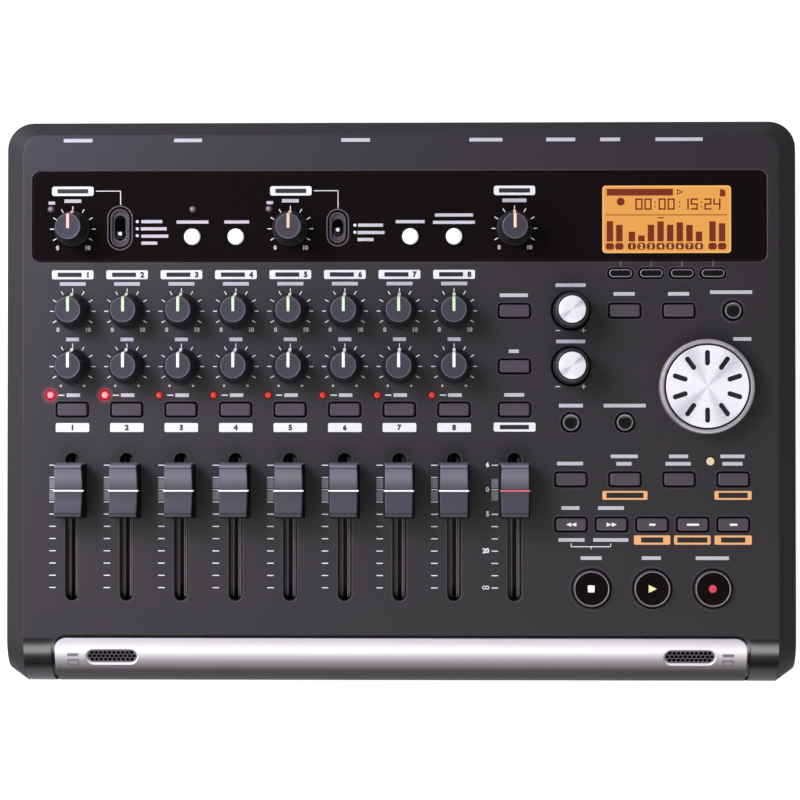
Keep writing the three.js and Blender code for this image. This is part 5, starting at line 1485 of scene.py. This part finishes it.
def track_prints(ink):
    """The plates, ticks, figures and words of the eight tracks."""
    (upper, *upper_shape), (lower, *lower_shape) = TRACK_PLATES
    for i, x in enumerate(TRACKS):
        middle = column(x)
        ink["white"] += [plate(x, upper, *upper_shape), plate(x, lower, *lower_shape)]
        ink["dark"] += [plate_figure(str(i + 1), x + 5.6, upper), plate_word(middle - 3, upper, 24),
                        plate_figure(str(i + 1), x, lower)]
        ink["white"] += ticks(x, REVERB_ROW) + ticks(x, PAN_ROW)
        ink["white"].append(bar(x - 4.1, deck_row(REC_WORD_ROW), 2.3, 0.4, 0.0, INK))
        ink["soft"].append(word(middle, TRACK_WORD_ROW, 26))
        ink["soft"] += ends_of_scale(x, PAN_FIGURE_ROW, -5.4, 5.8)
        ink["soft"].append(word(middle, PAN_WORD_ROW, 13))
        ink["soft"] += [round_print(x + side * 4.3, deck_row(PAN_DOT_ROW), 0.45, 16) for side in (-1, 1)]
        ink["soft"].append(word(middle + 0.8, REC_WORD_ROW, 13.5))


def fader_prints(ink):
    """The scales beside the faders, and the master fader's figures and plate."""
    for x in (*TRACKS, MASTER):
        rows = [SCALE_TOP + SCALE_STEP * i for i in range(SCALE_STEPS) if x != MASTER or i not in (1, 3)]
        ink["white"] += [bar(x + SCALE_X, deck_row(row), 2.4, 0.36, 0.0, INK) for row in rows]
        ink["grey"] += [bar(x + SCALE_X, deck_row(row), 2.4, 3.4, 0.0, UNDER) for row in SCALE_BLOCKS]
    for figure, row in SCALE_FIGURES:
        y = deck_row(row)
        surface = two_rings(y) if figure == "∞" else text_slab(figure, 0, y, 1.9, 0.0, INK)
        ink["white"].append(moved(surface, px(SCALE_FIGURE_END, 0)[0] - surface[0][:, 0].max()))
    ink["white"].append(plate(MASTER, MASTER_PLATE_ROW, *MASTER_PLATE_SHAPE))
    ink["dark"].append(plate_word(*MASTER_WORD))


def panel_prints(ink):
    """The gloss panel's plates, lines, ticks, figures, dots and words."""
    for left, right in PANEL_PLATES:
        ink["white"].append(stroke(left, PANEL_PLATE_TOP, right, PANEL_PLATE_FOOT, corner=0.8))
        ink["dark"].append(plate_word((left + right) / 2, (PANEL_PLATE_TOP + PANEL_PLATE_FOOT) / 2, 31))
    for start, end, foot in PLATE_LINES:
        ink["white"] += [stroke(start, PLATE_LINE_ROW, end, PLATE_LINE_ROW + LINE),
                         stroke(end - LINE, PLATE_LINE_ROW, end, foot)]
    for name in PANEL_KNOBS:
        x = KNOBS[name][0]
        ink["white"] += ticks(x, PANEL_KNOB_ROW)
        ink["soft"] += ends_of_scale(x, PANEL_FIGURE_ROW, -5.6, 5.6)
        ink["soft"].append(word(column(x), PANEL_WORD_ROW, 24 if name == "phones_knob" else 17))
    ink["soft"] += [word(*entry, 1.1) for entry in LAMP_WORDS]
    ink["soft"] += [word(*entry, 1.15) for entry in SWITCH_WORDS]
    ink["white"] += [round_print(*px(*dot), 0.55, 20) for dot in SWITCH_DOTS]


def deck_prints(ink):
    """The words of the deck, the signs beside the equaliser knobs, the orange plates and the bracket."""
    ink["soft"] += [word(*entry) for entry in DECK_WORDS]
    reach, half = EQ_SIGN
    for sign, x in EQ_SIGN_COLUMNS.items():
        for y in EQ_SIGN_ROWS:
            ink["white"].append(stroke(x - reach, y - half, x + reach, y + half))
            if sign == "+":
                ink["white"].append(stroke(x - half, y - reach, x + half, y + reach))
    for left, right, top, foot, width in ORANGE_PLATES:
        ink["orange"].append(stroke(left, top, right, foot, corner=0.5))
        ink["dark"].append(plate_word((left + right) / 2, (top + foot) / 2, width, 1.9))
    ink["white"] += [stroke(*line) for line in BRACKET]
    for x in SOFT_LINES:
        sides = (x - SOFT_LINE_HALF, x + SOFT_LINE_HALF)
        ink["grey"].append(stroke(sides[0], SOFT_LINE_TOP, sides[1], SOFT_LINE_FOOT, UNDER))


def round_roll(surface):
    """A flat print laid round the front roll, where a view from above the deck keeps its place."""
    x, y, z = surface[0].T
    angle = np.arcsin(-y / ROLL)
    return np.column_stack([x, -(ROLL + z) * np.sin(angle), (ROLL + z) * np.cos(angle) - ROLL]), surface[1]


def strip_marks(x):
    """A plain bar over an empty rectangle, printed on the strip at a column of the photograph."""
    sizes = [np.array(SIGN_SIZE) - 2 * line for line in (0.0, SIGN_LINE)]
    empty = slab([rounded(*px(x, SIGN_ROW), *size, 0.3, 3) for size in sizes], -0.05, 0.08)
    over = bar(*px(x, SIGN_WORD_ROW), *SIGN_WORD_SIZE, -0.05, 0.05)
    return [round_roll(empty), round_roll(over)]


def prints():
    """Plates, ticks, scales and plain bars printed on the deck, the panel and the strip."""
    looks = {"white": WHITE, "soft": SOFT_WHITE, "orange": ORANGE, "dark": DARK_INK, "grey": GREY_INK,
             "strip": STRIP_INK}
    ink = {name: [] for name in looks}
    track_prints(ink)
    fader_prints(ink)
    panel_prints(ink)
    deck_prints(ink)
    for x in SIGN_COLUMNS:
        ink["strip"] += strip_marks(x)
    parts = [(surface, look) for name, look in looks.items() for surface in ink[name]]
    build("prints", parts, "case", smooth=35)


def slot_rails():
    """Three thin rails and two pale edges in each fader slot, seen beside the lever."""
    parts = []
    for x, _ in FADERS.values():
        parts += [(bar(x + shift, SLOT_ROW, 0.22, 51.0, -4.4, -3.4), RAIL) for shift in (-1.1, 0.95, 1.6)]
        parts += [(bar(x + shift, SLOT_ROW, 1.3, 51.0, -4.9, -4.5), SLOT_FLOOR) for shift in (-1.4, 1.4)]
    build("slot_rails", parts, "case", smooth=35)


BOARD_FACE = 0.0108  # metres from the deck straight down to the board's upper face


def board_finish():
    """The control board: green below its upper face and dark above it, where switches and bodies stand."""
    nodes = Nodes("control_board_finish")
    level = nodes.math("MULTIPLY_ADD", nodes.place("Y"), -float(np.tan(SLOPE)), nodes.place("Z"))
    face = float(ORIGIN[2] - np.tan(SLOPE) * ORIGIN[1]) * MM - BOARD_FACE
    above = nodes.spread(level, 0.0, 1.0, face - 0.0001, face + 0.0001)
    nodes.feed(nodes.blend(above, linear(24, 74, 44), linear(18, 17, 18)))
    nodes.set(Roughness=0.45)
    return nodes.material


def inside_and_rear():
    """The boards, the display module and the rear sockets."""
    materials = frame["nodes"]["control_board"].data.materials
    materials.clear()
    materials.append(board_finish())
    softened("jack_board", SOCKET, 0.0)
    softened("lcd_module", DARK, 0.0)
    for node in ("input_a_sockets", "input_b_sockets", "phones_jack"):
        softened(node, SOCKET, 0.15)
    softened("line_out_sockets", moulded("line_out_metal", linear(176, 150, 96), 0.3), 0.1)
    softened("power_button", DARK, 0.3)


# Light, floor and camera


SKY_RING = (0.62, 0.08)  # strength low down and overhead, where polished faces mirror it
SKY_SIDES = (1.22, 0.4)  # share at the left and at the right
SKY_FRONT = 0.12  # share low in front
FLOOR_LIGHT = 0.84  # how bright the camera sees the floor
FLOOR_MIRRORED = 0.27  # and polished faces see it, as a share of that
LAMPS = (
    # name, place and target in metres, size, power, colour
    ("key", (-0.8, 0.0, 0.85), (0.0, 0.0, 0.03), (0.6, 0.6), 3.5, (1.0, 0.97, 0.96)),
    ("sheen", (-0.5, 0.34, 0.62), (-0.1, 0.05, 0.03), (0.3, 0.4), 6.5, (0.96, 0.9, 1.22)),
    ("front", (0.05, -0.72, 0.9), (0.0, -0.1, 0.03), (1.2, 0.42), 6.1, (1.0, 1.0, 1.0)),
)


def sky():
    """Light from all sides, dimmer at the right, low in front and straight over the deck."""
    world = bpy.data.worlds.new("sky")
    bpy.context.scene.world = world
    nodes = Nodes("sky", world, "Background")
    direction = nodes.add("TexCoord").outputs["Generated"]
    axes = {"up": (0.0, -np.sin(SLOPE), np.cos(SLOPE)), "right": (1.0, 0.0, 0.0), "front": (0.0, -1.0, 0.0)}
    lean = {side: nodes.vector("DOT_PRODUCT", direction, axis) for side, axis in axes.items()}
    ring = nodes.spread(lean["up"], *SKY_RING, np.cos(np.radians(40)), np.cos(np.radians(14)))
    sides = nodes.spread(lean["right"], *SKY_SIDES, -0.8, 0.8)
    front = nodes.spread(lean["front"], 1.0, SKY_FRONT, 0.55, 0.95)
    light = nodes.math("MULTIPLY", nodes.math("MULTIPLY", ring, sides), front)
    seen = nodes.add("LightPath").outputs["Is Camera Ray"]
    nodes.feed(nodes.math("MAXIMUM", light, seen), "Strength")
    nodes.set(Color=(1.0, 1.0, 1.0, 1.0))


def floor_finish():
    """A pale floor that is lit where the camera sees it, and weaker where polished faces mirror it."""
    nodes = Nodes("floor")
    nodes.feed(nodes.blend(nodes.noise(4.0), (0.3, 0.3, 0.3, 1.0), (0.33, 0.33, 0.33, 1.0)))
    path = nodes.add("LightPath").outputs
    mirrored = nodes.math("MAXIMUM", path["Is Glossy Ray"], path["Is Transmission Ray"])
    seen = nodes.math("MAXIMUM", path["Is Camera Ray"], nodes.math("MULTIPLY", mirrored, FLOOR_MIRRORED))
    nodes.feed(nodes.math("MULTIPLY", seen, FLOOR_LIGHT), "Emission Strength")
    nodes.set(Roughness=0.9, Emission_Color=(1.0, 1.0, 1.0, 1.0))
    return nodes.material


def studio():
    """The sky, a pale floor and lamps at the left, over the rear left and in front."""
    sky()
    bpy.ops.mesh.primitive_plane_add(size=12)
    floor = bpy.context.object
    floor.name = "floor"
    floor.data.materials.append(floor_finish())
    for name, place, target, size, power, colour in LAMPS:
        data = bpy.data.lights.new(name, "AREA")
        data.shape = "RECTANGLE"
        data.size, data.size_y = size
        data.energy = power
        data.color = colour
        light = bpy.data.objects.new(name, data)
        light.location = place
        light.rotation_euler = (Vector(target) - Vector(place)).to_track_quat("-Z", "Y").to_euler()
        bpy.context.collection.objects.link(light)


CAMERA_FOOT = px(460, 438)
CAMERA_AIM = px(*PHOTO_MIDDLE)
CAMERA_DISTANCE = 985.0
CAMERA_SENSOR = 36
CAMERA_REACH = 50
FIELD = PHOTO_SIZE / PX


def camera():
    """The photograph's camera, over a point right of and before the deck's middle, aimed at the middle."""
    data = bpy.data.cameras.new("camera")
    data.sensor_width = CAMERA_SENSOR
    eye, aim = (Vector(point) for point in on_deck([[*CAMERA_FOOT, CAMERA_DISTANCE], [*CAMERA_AIM, 0.0]]))
    back = eye - aim
    data.lens = CAMERA_SENSOR * back.length / MM / FIELD
    data.clip_end = CAMERA_REACH
    right = Vector((0.0, np.cos(SLOPE), np.sin(SLOPE))).cross(back).normalized()
    up = back.cross(right).normalized()
    view = bpy.data.objects.new("camera", data)
    view.location = eye
    view.rotation_euler = Matrix((right, up, back.normalized())).transposed().to_euler()
    bpy.context.collection.objects.link(view)
    bpy.context.scene.camera = view
    bpy.context.scene.view_settings.view_transform = "Standard"


case()
strip()
microphone(-1, "mic_grille_left")
microphone(1, "mic_grille_right")
gloss_panel()
display()
lamps()
prints()
slot_rails()
controls()
inside_and_rear()
studio()
camera()
